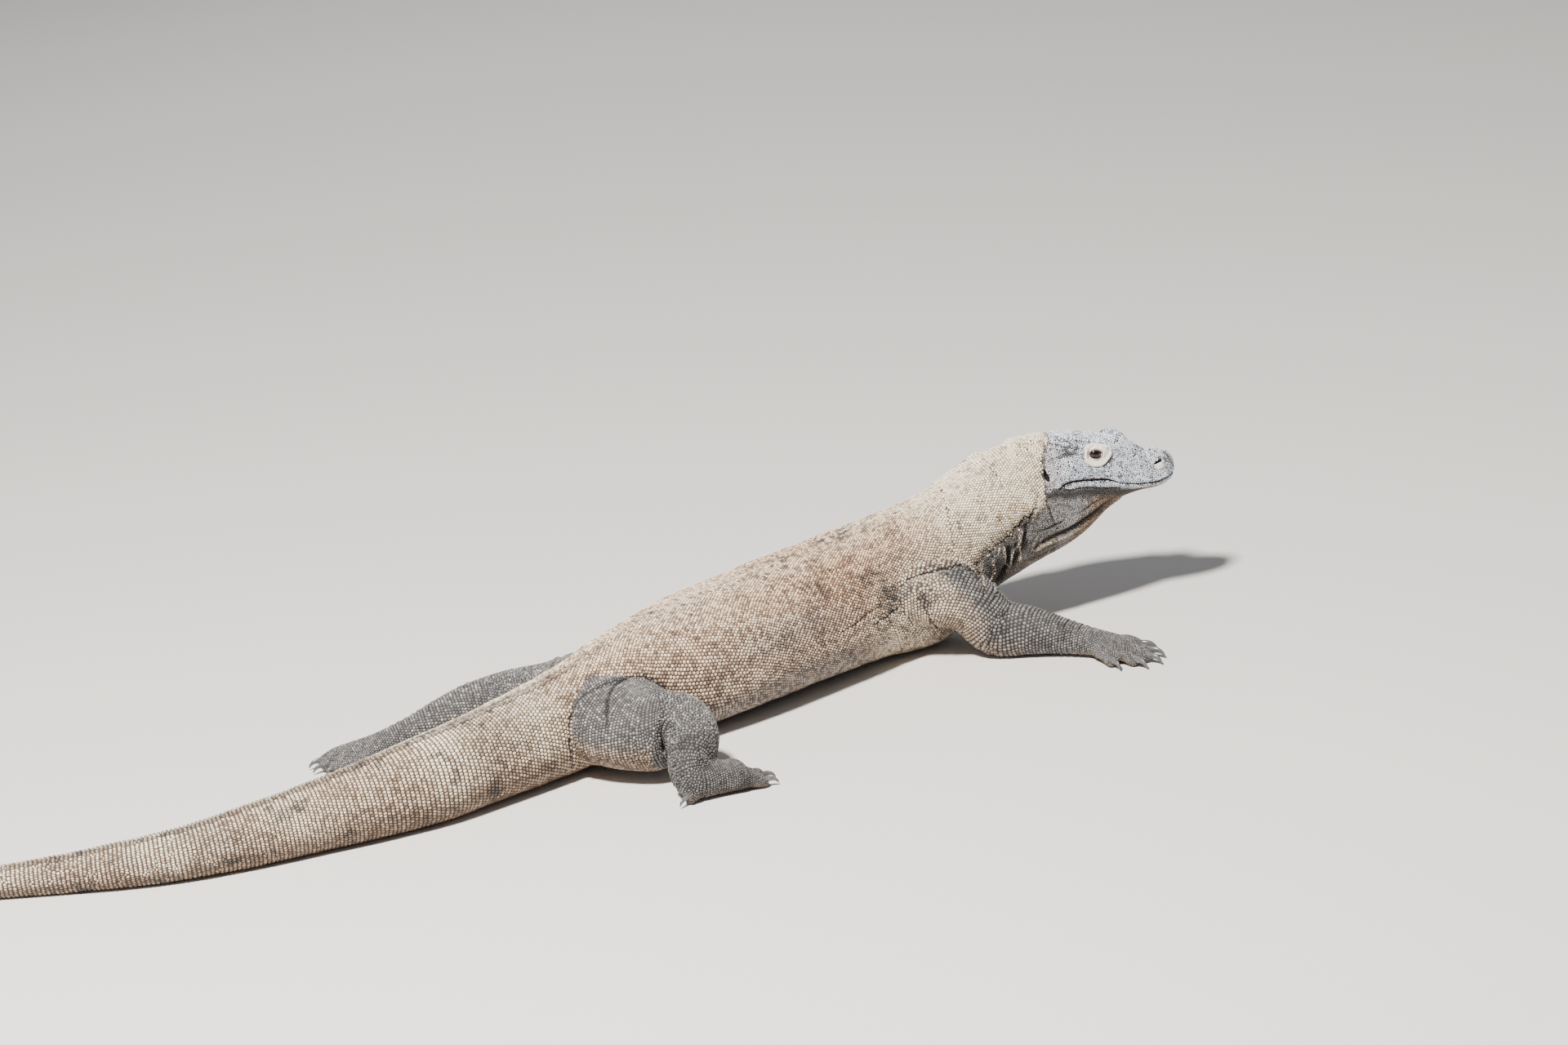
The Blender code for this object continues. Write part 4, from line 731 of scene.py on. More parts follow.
def find_roots(skin):
    rng = np.random.default_rng(11)
    pieces = []
    bp = lambda s: tuple(np.interp(s, PT, PV[:, c]) * 0.001 for c in (0, 1))
    pieces.append((0, 0, lattice(BODY, -0.06, BODY.L, lambda s: bp(max(s, 0)), lambda s: np.interp(s, PT, PV[:, 2]), lambda s: np.interp(s, PT, PV[:, 3]),
                                 lambda a: 1 + 0.25 * sstep(-np.cos(a), 0.35, 0.8))))
    for i, n in enumerate(NAMES[1:], 1):
        t = np.array(LIMB_PITCH[n[:3]]); ax = LIMBS[n]
        lp = lambda s, t=t, ax=ax: tuple(np.interp(s / ax.L, t[:, 0], t[:, c]) * 0.001 for c in (1, 2))
        pieces.append((i, 0, lattice(ax, 0.0, ax.L, lp)))
        for toe in TOES[n]:
            pieces.append((i, 1, lattice(toe, 0.0, toe.L + 0.004, lambda s: (0.0027, 0.0030), stagger=lambda s: 0.5, wide=lambda a: 1 + 0.9 * sstep(np.cos(a), 0.2, 0.8))))
    rows = np.vstack([p[2] for p in pieces]); own = np.concatenate([np.full(len(p[2]), p[0]) for p in pieces]); tl = np.concatenate([np.full(len(p[2]), p[1]) for p in pieces])
    Q, Nn, I, D = skin.nearest(rows[:, :3])
    reg, toe, which, loc, H = regions(Q)
    gul = gular_mask(H)
    ok = (D < np.where(own == 0, 0.0085, 0.0042)) & (reg == own) & (toe == tl) & ~((own == 0) & (gul | fold_edge(reg, H))) & ~bare_at(reg, H) & ~in_crease(Q)
    Q, Nn, T, pr, pc, own, tl = Q[ok], Nn[ok], rows[ok, 3:6], rows[ok, 6], rows[ok, 7], own[ok], tl[ok]
    sp = np.sqrt(pr * pc)
    k = greedy(Q, sp, Nn, factor=0.66)
    Q, Nn, T, pr, pc, sp, own, tl = (x[k] for x in (Q, Nn, T, pr, pc, sp, own, tl))
    print("lattice roots", len(Q))
    # fill head, throat and every gap with evenly spread roots
    cen = skin.P[skin.T].mean(1); creg, ctoe, _, cloc, cH = regions(cen); csp = spacing_at(cen, creg, ctoe, cloc, cH)
    dens = 1 / csp ** 2; tree = KDTree(len(Q))
    for i, q in enumerate(Q.tolist()): tree.insert(q, i)
    tree.balance()
    gap = np.array([tree.find(c)[2] for c in cen.tolist()]) > csp * 0.60
    total = int((skin.area * dens * gap).sum() * 9)
    F, Fn = skin.sample(total, rng, dens * gap)
    freg, ftoe, _, floc, fH = regions(F); fs = spacing_at(F, freg, ftoe, floc, fH)
    q, lid, rad, ex, ey, lx, ly = eye_fields(fH)
    bare = bare_at(freg, fH) | in_crease(F)
    F, Fn, fs, freg, ftoe = (x[~bare] for x in (F, Fn, fs, freg, ftoe))
    k = greedy(F, fs, Fn, taken=(Q, sp, Nn), factor=0.77)
    F, Fn, fs, freg, ftoe = (x[k] for x in (F, Fn, fs, freg, ftoe))
    print("filled roots", len(F), "of", total)
    n0 = len(Q); Q = np.vstack([Q, F]); Nn = np.vstack([Nn, Fn]); sp = np.concatenate([sp, fs])
    own = np.concatenate([own, freg]); tl = np.concatenate([tl, ftoe])
    T = np.vstack([T, np.zeros((len(F), 3))]); pr = np.concatenate([pr, fs]); pc = np.concatenate([pc, fs])
    for it in range(5):                                       # ease the filled ones apart
        tree = KDTree(len(Q))
        for i, q in enumerate(Q.tolist()): tree.insert(q, i)
        tree.balance(); mv = np.arange(n0, len(Q))
        nb = np.array([[j for _, j, _ in tree.find_n(q, 8)][1:] for q in Q[mv].tolist()])
        d = Q[mv][:, None] - Q[nb]; dist = np.linalg.norm(d, axis=2) + 1e-9; want = 0.5 * (sp[mv][:, None] + sp[nb]) * 1.06
        push = (np.clip(want - dist, 0, None) / dist)[..., None] * d
        Q[mv] += (.36, .34, .30, .26, .22)[it] * push.sum(1)
        L, n, I, D = skin.nearest(Q[mv]); Q[mv] = L; Nn[mv] = n
    reg, toe, which, loc, H = regions(Q)
    # row direction of the filled ones
    f = np.where(np.linalg.norm(T, axis=1) < .5)[0]
    hd = HAX[0]; T[f] = hd
    b = f[(reg[f] == 0)]; ib = np.interp(loc["body"][0][b], BODY.t, np.arange(len(BODY.t))).astype(int); T[b] = BODY.T[ib]
    for i, nme in enumerate(NAMES[1:], 1):
        b = f[reg[f] == i]; ib = np.interp(loc[nme][0][b], LIMBS[nme].t, np.arange(80)).astype(int); T[b] = LIMBS[nme].T[ib]
    return dict(P=Q, N=Nn, T=T, pr=pr, pc=pc, sp=sp, reg=reg, toe=toe, which=which, loc=loc, H=H, filled=np.arange(len(Q)) >= n0)


# ------------------------------------------------------------------ colour marks with painted light and shade, the same on skin and scales
def markings_and_painted_light(P, N, reg, toe, loc, H, crease):
    """Two colour attributes, marks together with painted light and shade. A: grey, cream, blue, tan-orange; the cream
    holds painted highlights on the throat's ridges and the tail's top, and with the grey painted shade by the armpit.
    B: lid, brown, dark, pale specks; the dark holds painted shade in the creases, hollows and under the jaw.
    """
    n = len(P); s, a, b, f = loc["body"]; x = P[:, 0]
    w = np.interp(s, BODY.t, BODY.w); hgt = np.where(b > 0, np.interp(s, BODY.t, BODY.up), np.interp(s, BODY.t, BODY.dn))
    ang = np.arctan2(abs(a) / w, b / hgt)                     # 0 on the back, pi under the belly
    n1 = fbm(P, 9, 2, 4.0); n2 = fbm(P, 26, 3, 5.0); n3 = fbm(P, 70, 2, 6.0)
    L = ST; body = reg == 0; head = reg == 5; U, W, V = H.T; A_ = abs(W)
    # the dark starts as the painted shade of the creases
    grey = np.zeros(n); cream = np.zeros(n); blue = np.zeros(n); tan = np.zeros(n); lid_ = np.zeros(n); brown = np.zeros(n); dark = crease * 0.9; spk = np.zeros(n)
    # trunk and neck
    neck = sstep(s, L["shld"] - .01, L["nek1"] + .03)
    cream += body * (neck * (1 - sstep(ang + .25 * n2, 1.35, 2.1)) * 0.95)
    grey += body * neck * sstep(ang + .25 * n2, 1.3, 2.0) * 0.75
    ridge = gauss(ang + .10 * n2, .42) * sstep(s, L["vent"] - .05, L["groin"]) * (1 - neck)
    cream += body * ridge * .28; tan += body * ridge * .12; dark += body * ridge * .52 * sstep(fbm(P, 110, 2, 9.0), .02, .32)
    low = sstep(ang + .22 * n1, 1.45, 2.15) * sstep(s, L["vent"], L["groin"]) * (1 - neck)
    grey += body * low * .72
    mid = gauss(ang - 1.25, .36) * gauss(s - L["mid"] - .02, .15) * .55
    grey += body * mid
    patch = gauss(x - .445, .078) * gauss(P[:, 2] - .152 + .12 * (x - .445), .046)
    tan += body * np.clip(patch * (1.1 + .5 * n2), 0, 1); dark += body * patch * sstep(fbm(P, 120, 2, 10.0) + .4 * n3, -.05, .4) * .42
    tan += body * (1 - neck) * sstep(s, L["t10"], L["groin"]) * .35 * sstep(n1, -.2, .5) * (1 - sstep(ang, 1.5, 2.2))
    brown += body * sstep(ang, 2.25, 2.75) * .7 * sstep(s, L["t60"], L["t20"])
    pale_ax = gauss(np.hypot((x - .535) / 1.3, (ang - 1.98) * .05), .045) * (s > L["rib"]) * (s < L["nek1"])
    cream += body * pale_ax * .8; grey *= 1 - body * pale_ax * .8
    # painted shade round the hollow behind the arm: darker, greyer, less cream
    armpit_shade = body * (1 - neck) * gauss(np.hypot(x - .518, (P[:, 2] - .113) * 1.1), .036); dark += .36 * armpit_shade * sstep(n3 + .4 * n2, -.6, .3); grey += .45 * armpit_shade; cream *= 1 - .6 * armpit_shade
    sh = gauss(s - (L["shld"] + .005), .035) * gauss(ang - 1.35, .45); grey += body * sh * .55
    dark += body * .30 * sstep(n2 + .4 * n3, .32, .62) * (1 - neck)
    dark += body * neck * .45 * sstep(n3 + .3 * n2, .42, .62)
    # tail: cream and grey-brown bands, darker below, grey along the top; the cream over the top is painted light, and
    # painted shade is added to the brown underneath
    tail = body * (1 - sstep(s, L["t10"], L["vent"] + .02))
    xb = x + .020 * n2 + .012 * np.cos(ang)
    band = gauss(xb + .265, .038) + gauss(xb + .655, .045) + .8 * gauss(xb + .48, .035) + .8 * gauss(xb + .84, .04) + .7 * gauss(xb + 1.0, .03) + .6 * gauss(xb + .10, .04)
    cream = cream + tail * np.clip(band, 0, 1) * .85 * (1 - .5 * sstep(ang, 1.8, 2.4))
    grey = grey + tail * (np.clip(1 - band, 0, 1) * (.16 + .18 * sstep(n1, -.3, .4)) * (1 - sstep(ang, 1.9, 2.4)))
    # the cream over the tail's top is painted light; brown underneath, a dark line along the spine
    cream = cream + tail * .22 * (1 - sstep(ang, 1.1, 1.6)); brown = brown + tail * sstep(ang + .15 * n2, 1.4, 2.0) * .85; dark = dark + tail * gauss(ang, .22) * .35
    # dark mottles, and darker underneath as painted shade
    dark = dark + tail * (.22 * sstep(n3 + .5 * n2, .35, .7) + .24 * sstep(ang, 1.5, 2.0))
    # limbs: slate grey with pale specks, tan at the root and underneath
    for i, nm in enumerate(NAMES[1:], 1):
        m = reg == i; ls, la, lb, lf = loc[nm]; r = ls / LIMBS[nm].L; down = sstep(-N[:, 2], -.15, .55)
        if "arm" in nm:
            g = sstep(r + .05 * n2, .06, .36); top_ = sstep(N[:, 2], .25, .8) * sstep(r, .12, .30); grey = np.where(m, np.clip(.45 + .35 * top_ + .55 * g, 0, 1), grey); cream = np.where(m, (1 - g) * .6 * (1 - down) * (1 - top_), cream)
            tan = np.where(m, .15 * (1 - g), tan); spk = np.where(m, .12 * (1 - sstep(r, .3, .6)), spk)
            inner = gauss(r - .20, .16) * sstep(-N[:, 0], .0, .8); cream = np.where(m, np.maximum(cream, inner * .8), cream); grey = np.where(m, grey * (1 - inner * .6), grey)
            if nm == "arm_right":
                c_, ca_, cs_, ok_ = crease_at(P, CREASES[0][0]); ab = ok_ * sstep(cs_, 0, 2.5) * (1 - sstep(r, .22, .36)) * (1 - sstep(c_, 6, 24)) * sstep(-N[:, 0], -.35, .15); be = ok_ * gauss(cs_ + 11, 10) * (cs_ < 0) * (1 - sstep(r, .30, .44))
                grey = np.where(m, np.clip(grey * (1 - .7 * ab) + .5 * be, 0, 1), grey); cream = np.where(m, np.maximum(cream * (1 - be), .45 * ab), cream); tan = np.where(m, np.maximum(tan, .2 * ab), tan)
            edge = down * gauss(r - .30, .22); brown = np.where(m, edge * .7, brown); grey = np.where(m, grey * (1 - .5 * edge), grey)
        else:
            grey = np.where(m, 1.0, grey); cream = np.where(m, 0, cream); tan = np.where(m, 0, tan)
            spk = np.where(m, .55 - .35 * sstep(r, .55, .8), spk)
            edge = down * (1 - sstep(r, .45, .62)); brown = np.where(m, .85 * edge, brown); grey = np.where(m, grey * (1 - .55 * edge), grey)
        if nm == "leg_right": foot_ = .31 * sstep(r, .42, .58) + .10 * sstep(r, .70, .82)
        elif nm == "arm_right": foot_ = .30 * sstep(r, .36, .46) * (1 - sstep(r, .74, .82))
        else: foot_ = 0 * r
        sole = m & (r > .8); brown = np.where(sole, .5 * sstep(-N[:, 2], -.25, .3) * (1 - sstep(P[:, 2], .010, .018)), brown)
        dark = np.where(m, crease * .9 + foot_ + .25 * sstep(n2 + .4 * n3, .25, .6), dark)
    # throat
    g = gular_mask(H) & body
    # painted highlight along the raised ridge of the throat
    pl, pa_, _ = polyline(U, V, HIGHLIGHT_RIDGE); ridge_highlight = gauss(pl, 2.4) * sstep(pa_, 0, .08) * sstep(A_, 3, 10) * (g | head)
    fade = sstep(V, 4, -22)
    cream = np.where(g, cream * (1 - fade), cream); grey = np.where(g, .95, grey); dark = np.where(g, np.maximum(crease, .12 * sstep(n2, .1, .5)), dark)
    brown = np.where(g, .45 * sstep(-V - 60 + 12 * n2 + .35 * U, 0, 40), brown)
    # painted highlight on the pleat crests
    pleat_highlight = np.zeros(n)
    for line in PLEAT: pleat_highlight = np.maximum(pleat_highlight, gauss(polyline(U, V, line)[0], 1.5) * (A_ > 12) * g)
    cream = np.where(g, np.maximum(cream, .75 * np.maximum(pleat_highlight, ridge_highlight)), cream); grey = grey * (1 - g * .7 * np.maximum(pleat_highlight, ridge_highlight)); brown = np.where(g, brown * (1 - .6 * ridge_highlight), brown)
    # painted shade in the hollow low behind the nuchal fold
    hollow_shade = body * (A_ > 10) * gauss(np.hypot((U + 103) / 1.0, (V + 124) / 1.35), 22); dark = np.maximum(dark, .85 * hollow_shade * (1 - .8 * pleat_highlight)); cream = cream * (1 - .7 * hollow_shade)
    # head
    jaw = sstep(-(V - np.interp(U, [p[0] for p in LIP_LOW[::-1]], [p[1] for p in LIP_LOW[::-1]])), 0, 6)
    grey = np.where(head, .9 * jaw * (1 - sstep(U, 50, 95)), grey); cream = np.where(head, 0, cream); tan = np.where(head, 0, tan); spk = np.where(head, 0, spk)
    # painted shadow in the band under the lower lip
    jaw_shadow = head * gauss(V - np.interp(U, [p[0] for p in LIP_LOW[::-1]], [p[1] for p in LIP_LOW[::-1]]) + 7, 9) * jaw * sstep(180 - U, 0, 60)
    back_ = head * sstep(16 - U, 0, 30); blue = np.where(head, (1 - jaw * .85) * (1 - .45 * back_), 0.0); grey = np.maximum(grey, .35 * back_); brown = np.where(head, jaw * sstep(U + .6 * (-V - 25), 30, 75), brown)
    crown = head * sstep(V, 40, 56) * (1 - sstep(U, 105, 125))
    # the painted shadow under the lip is kept off the ridge's painted highlight, which runs on along the jaw
    dark = np.where(head, np.maximum(crease, .98 * jaw_shadow * (1 - ridge_highlight)), dark); cream = np.where(head, .8 * ridge_highlight * jaw, cream); grey = grey * (1 - head * .8 * ridge_highlight)
    st, _, _ = polyline(U, V, ((10, 42), (22, 41.5), (32, 41), (42, 39.5))); dark += head * .55 * gauss(st, 2.6)
    dark += head * .62 * gauss(np.hypot((U - 20) / 2.4, V - 45), 9) * sstep(n3 + .6 * n2, -.3, .3)
    dark += .22 * crown * sstep(n2 + .6 * n3, -.05, .45)
    dark += head * .45 * gauss(np.hypot((U - 62) / 2.0, V - 9), 7) * sstep(n3, -.35, .3)
    dark += head * .32 * sstep(V, 22, 30) * gauss(U - 140, 26) * sstep(n3 + .5 * n2, -.1, .4)
    dark += head * .62 * gauss(np.hypot((U - 178) / 1.0, (V - 12) / 1.3), 14) * sstep(n3, -.7, .1)
    dark += head * (1 - jaw) * .46 * sstep(fbm(P, 150, 2, 8.0), .08, .45)
    q, lid, rad, ex, ey, lx, ly = eye_fields(H); ok = head & (A_ > 26) & (V > 5) & (V < 62)
    lr = ok * (1 - sstep(lid + .05 * n3, .93, 1.05)); lid_ = np.maximum(lid_, lr); blue *= 1 - lr; dark = np.where(lr > .5, crease * .9, dark)
    # brown flecks on the upper lid, and a thin brown line of painted shade in the fold of the lower lid
    brown = np.maximum(brown, lr * (.55 * gauss(lid - .70, .10) * sstep(ly, 4, 9) * sstep(n3, -.3, .4) + .30 * gauss(lid - .60, .05) * (ly < 0)))
    n1_, n2_ = nostril(U, V); no_ = head * (A_ > 12) * (1 - sstep(n2_, .9, 1.12)) * (n1_ > .9); lid_ = np.maximum(lid_, no_); blue *= 1 - no_; dark = np.where(no_ > .5, dark * .25, dark)
    bd, ba, bs = polyline(U, V, BORDER); soft = body & (bd < 9) & (U < border_u(V)); dark = np.where(soft, np.maximum(dark, .25 * gauss(bd, 5)), dark)
    c = lambda *v: np.clip(np.stack(v, 1), 0, 1)
    return c(grey, cream, blue, tan), c(lid_, brown, dark, spk)


def set_attr(me, name, kind, data):
    at_ = me.attributes.new(name, kind, "POINT")
    at_.data.foreach_set("vector" if kind == "FLOAT_VECTOR" else "color" if kind == "FLOAT_COLOR" else "value", np.ascontiguousarray(data, np.float32).ravel())


# ------------------------------------------------------------------ coat mesh
def radii(R, K, start):
    """Cell radius of each root in K directions of its own plane, from its neighbours."""
    P, N, T, sp = R["P"], R["N"], R["T"], R["sp"]
    e1 = T - np.sum(T * N, 1)[:, None] * N; l = np.linalg.norm(e1, axis=1); bad = l < .15
    e1[bad] = np.cross(N[bad], (0.3, 0.5, 0.8)); e1 /= np.linalg.norm(e1, axis=1)[:, None]; e2 = np.cross(N, e1)
    if "nb" not in R:
        tree = KDTree(len(P))
        for i, q in enumerate(P.tolist()): tree.insert(q, i)
        tree.balance(); R["nb"] = np.array([[j for _, j, _ in tree.find_n(q, 11)][1:] for q in P.tolist()])
    nb = R["nb"]; d = P[nb] - P[:, None]; same = np.sum(N[nb] * N[:, None], 2) > -0.1
    x = np.sum(d * e1[:, None], 2); y = np.sum(d * e2[:, None], 2); L2 = np.sum(d * d, 2); ln = np.hypot(x, y) + 1e-9
    k = np.sqrt(L2) / ln; x, y = x * k, y * k
    # weigh the border between unlike sizes so that the smaller keeps its size
    wt = sp[:, None] / (sp[:, None] + sp[nb]); th = start + np.arange(K) * 2 * np.pi / K; r = np.full((len(P), K), 1.0)
    for j in range(K):
        c = x * math.cos(th[j]) + y * math.sin(th[j]); ok = (c > 0.15 * ln) & same
        q = np.where(ok, L2 * wt / np.where(ok, c, 1), 1.0); r[:, j] = q.min(1)
    cap = np.maximum(R["pr"], R["pc"]) * 0.66
    r = np.minimum(r, cap[:, None]); m = r.mean(1)[:, None]
    return np.minimum(r, m * 1.42), e1, e2, th


def coat_piece(name, R, idx, K, start, chart, mats, style):
    """One joined mesh of scales for the roots in idx."""
    r, e1, e2, th = (v[idx] if isinstance(v, np.ndarray) and len(v) == len(R["P"]) else v for v in R[("rad", K, start)])
    P, N, sp = R["P"][idx], R["N"][idx], R["sp"][idx]; n = len(idx); rnd = R["rnd"][idx]; crest = R["crest"][idx]
    fill, top, hh = style["fill"], style["top"], style["height"]
    h = sp * hh * (0.9 + 0.25 * rnd[:, 1]) * R["raise"][idx]; r = r * fill * (1 - 0.06 * rnd[:, 2:3])
    c, s = np.cos(th), np.sin(th); dirs = c[None, :, None] * e1[:, None] + s[None, :, None] * e2[:, None]
    r = r * (1 - style.get("slit", 0.0) * abs(c)[None] ** 1.5)      # wider gaps between the rings than within them
    soft = np.minimum(r, r * .55 + r.mean(1)[:, None] * .45)
    base = P[:, None] + dirs * r[..., None] - N[:, None] * (0.00035 + sp[:, None, None] * .05)
    ring = P[:, None] + dirs * (soft * top)[..., None] + N[:, None] * (h * style["shoulder"] + crest * .72)[:, None, None]
    tip = P + N * (h + crest)[:, None] + e1 * (-sp * style["lean"])[:, None]
    V = np.concatenate([base, ring, tip[:, None]], 1); V[..., 2] = np.maximum(V[..., 2], 0.00025)
    m = 2 * K + 1; o = (np.arange(n) * m)[:, None]; j = np.arange(K); j2 = (j + 1) % K
    quads = np.stack([o + j, o + j2, o + K + j2, o + K + j], -1).reshape(n, -1); tris = np.stack([o + K + j, o + K + j2, np.broadcast_to(o + 2 * K, (n, K))], -1).reshape(n, -1)
    loops = np.concatenate([quads, tris], 1).ravel(); tot = np.tile(np.r_[np.full(K, 4), np.full(K, 3)], n); st = np.concatenate([[0], np.cumsum(tot)[:-1]])
    me = bpy.data.meshes.new(name); me.vertices.add(n * m); me.vertices.foreach_set("co", (V + SHIFT).astype(np.float32).ravel())
    me.loops.add(len(loops)); me.loops.foreach_set("vertex_index", loops.astype(np.int32)); me.polygons.add(len(tot))
    me.polygons.foreach_set("loop_start", st.astype(np.int32)); me.polygons.foreach_set("loop_total", tot.astype(np.int32))
    me.polygons.foreach_set("use_smooth", np.ones(len(tot), bool)); me.update(calc_edges=True)
    rep = lambda q: np.repeat(q, m, axis=0)
    set_attr(me, "marks_and_painted_light_a", "FLOAT_COLOR", rep(R["A"][idx])); set_attr(me, "marks_and_painted_shade_b", "FLOAT_COLOR", rep(R["B"][idx])); set_attr(me, "root", "FLOAT_VECTOR", rep(P))
    rear = np.clip(-(c + .35 * s), 0, 1) ** .6                 # the hind edge of each scale's foot keeps the full gap colour, painted shade on that side
    lb = style.get("open", 0.0) * (1 - rear); lev = np.tile(np.r_[lb, np.full(K, .72), 1.0], n); set_attr(me, "scale", "FLOAT_COLOR", np.stack([lev, rep(rnd[:, 0]), rep(rnd[:, 1]), rep((crest > 0).astype(float))], 1))
    uv = chart[idx]; uv = uv.copy()
    k = 0.0014 / (r.max(1) * 1.02); loc2 = np.concatenate([np.stack([c * r, s * r], -1), np.stack([c * soft * top, s * soft * top], -1), np.zeros((n, 1, 2))], 1) * k[:, None, None]
    U2 = (uv[:, None] + loc2).reshape(-1, 2); lay = me.uv_layers.new(name="OFBake"); lay.uv.foreach_set("vector", U2[loops].astype(np.float32).ravel())
    ob = bpy.data.objects.new(name, me); bpy.context.scene.collection.objects.link(ob); me.materials.append(mats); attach(ob, "root")
    return ob, n * 3 * K


def chart_of(reg, toe, loc, H):
    """Unwrap of the skin's form: along and round each region, 0..1 in both."""
    n = len(reg); C = np.zeros((n, 2)); s, a, b, f = loc["body"]
    C[:, 0] = s / BODY.L; C[:, 1] = .5 + np.arctan2(a, b) / (2 * np.pi)
    h = reg == 5; C[h, 0] = np.clip((H[h, 0] + 40) / 240, 0, 1); C[h, 1] = .5 + np.arctan2(H[h, 1], H[h, 2] - 8) / (2 * np.pi)
    for i, nm in enumerate(NAMES[1:], 1):
        m = reg == i; ls, la, lb, lf = loc[nm]; C[m, 0] = np.clip(ls[m] / (LIMBS[nm].L + .055), 0, 1); C[m, 1] = .5 + np.arctan2(la[m], lb[m]) / (2 * np.pi)
    return C


# ------------------------------------------------------------------ materials
class Nodes:
    def __init__(self, name):
        self.m = bpy.data.materials.new(name); self.m.use_nodes = True; self.nt = self.m.node_tree; self.b = self.nt.nodes["Principled BSDF"]

    def new(self, kind, **props):
        n = self.nt.nodes.new(kind)
        for k, v in props.items(): setattr(n, k, v)
        return n

    def link(self, a, b):
        self.nt.links.new(a, b)

    def val(self, sock, v):
        if hasattr(v, "is_output"): self.link(v, sock)
        else: sock.default_value = v

    def math(self, op, a, b=0.0, c=0.0, clamp=False):
        n = self.new("ShaderNodeMath", operation=op, use_clamp=clamp)
        for k, v in enumerate((a, b, c)): self.val(n.inputs[k], v)
        return n.outputs[0]

    def mix(self, f, a, b, mode="MIX"):
        n = self.new("ShaderNodeMix", data_type="RGBA", blend_type=mode, clamp_factor=True)
        for k, v in ((0, f), (6, a), (7, b)):
            self.val(n.inputs[k], (*v, 1) if isinstance(v, tuple) and len(v) == 3 else v)
        return n.outputs[2]

    def ramp(self, f, *stops):
        n = self.new("ShaderNodeValToRGB"); e = n.color_ramp.elements
        while len(e) < len(stops): e.new(0.5)
        for k, (p, c) in enumerate(stops): e[k].position = p; e[k].color = (*c, 1)
        self.val(n.inputs[0], f); return n.outputs[0]

    def attr(self, name):
        n = self.new("ShaderNodeAttribute", attribute_type="GEOMETRY", attribute_name=name); return n

    def split(self, a):
        n = self.new("ShaderNodeSeparateColor"); self.link(a.outputs["Color"], n.inputs[0]); return (*n.outputs[:3], a.outputs["Alpha"])

    def noise(self, vec, scale, detail=2.0, rough=0.55):
        n = self.new("ShaderNodeTexNoise"); self.link(vec, n.inputs["Vector"]); n.inputs["Scale"].default_value = scale
        n.inputs["Detail"].default_value = detail; n.inputs["Roughness"].default_value = rough; return n.outputs[0]

    def step(self, x, a, b):
        n = self.new("ShaderNodeMapRange", interpolation_type="SMOOTHSTEP"); self.val(n.inputs[0], x)
        n.inputs[1].default_value = a; n.inputs[2].default_value = b; return n.outputs[0]


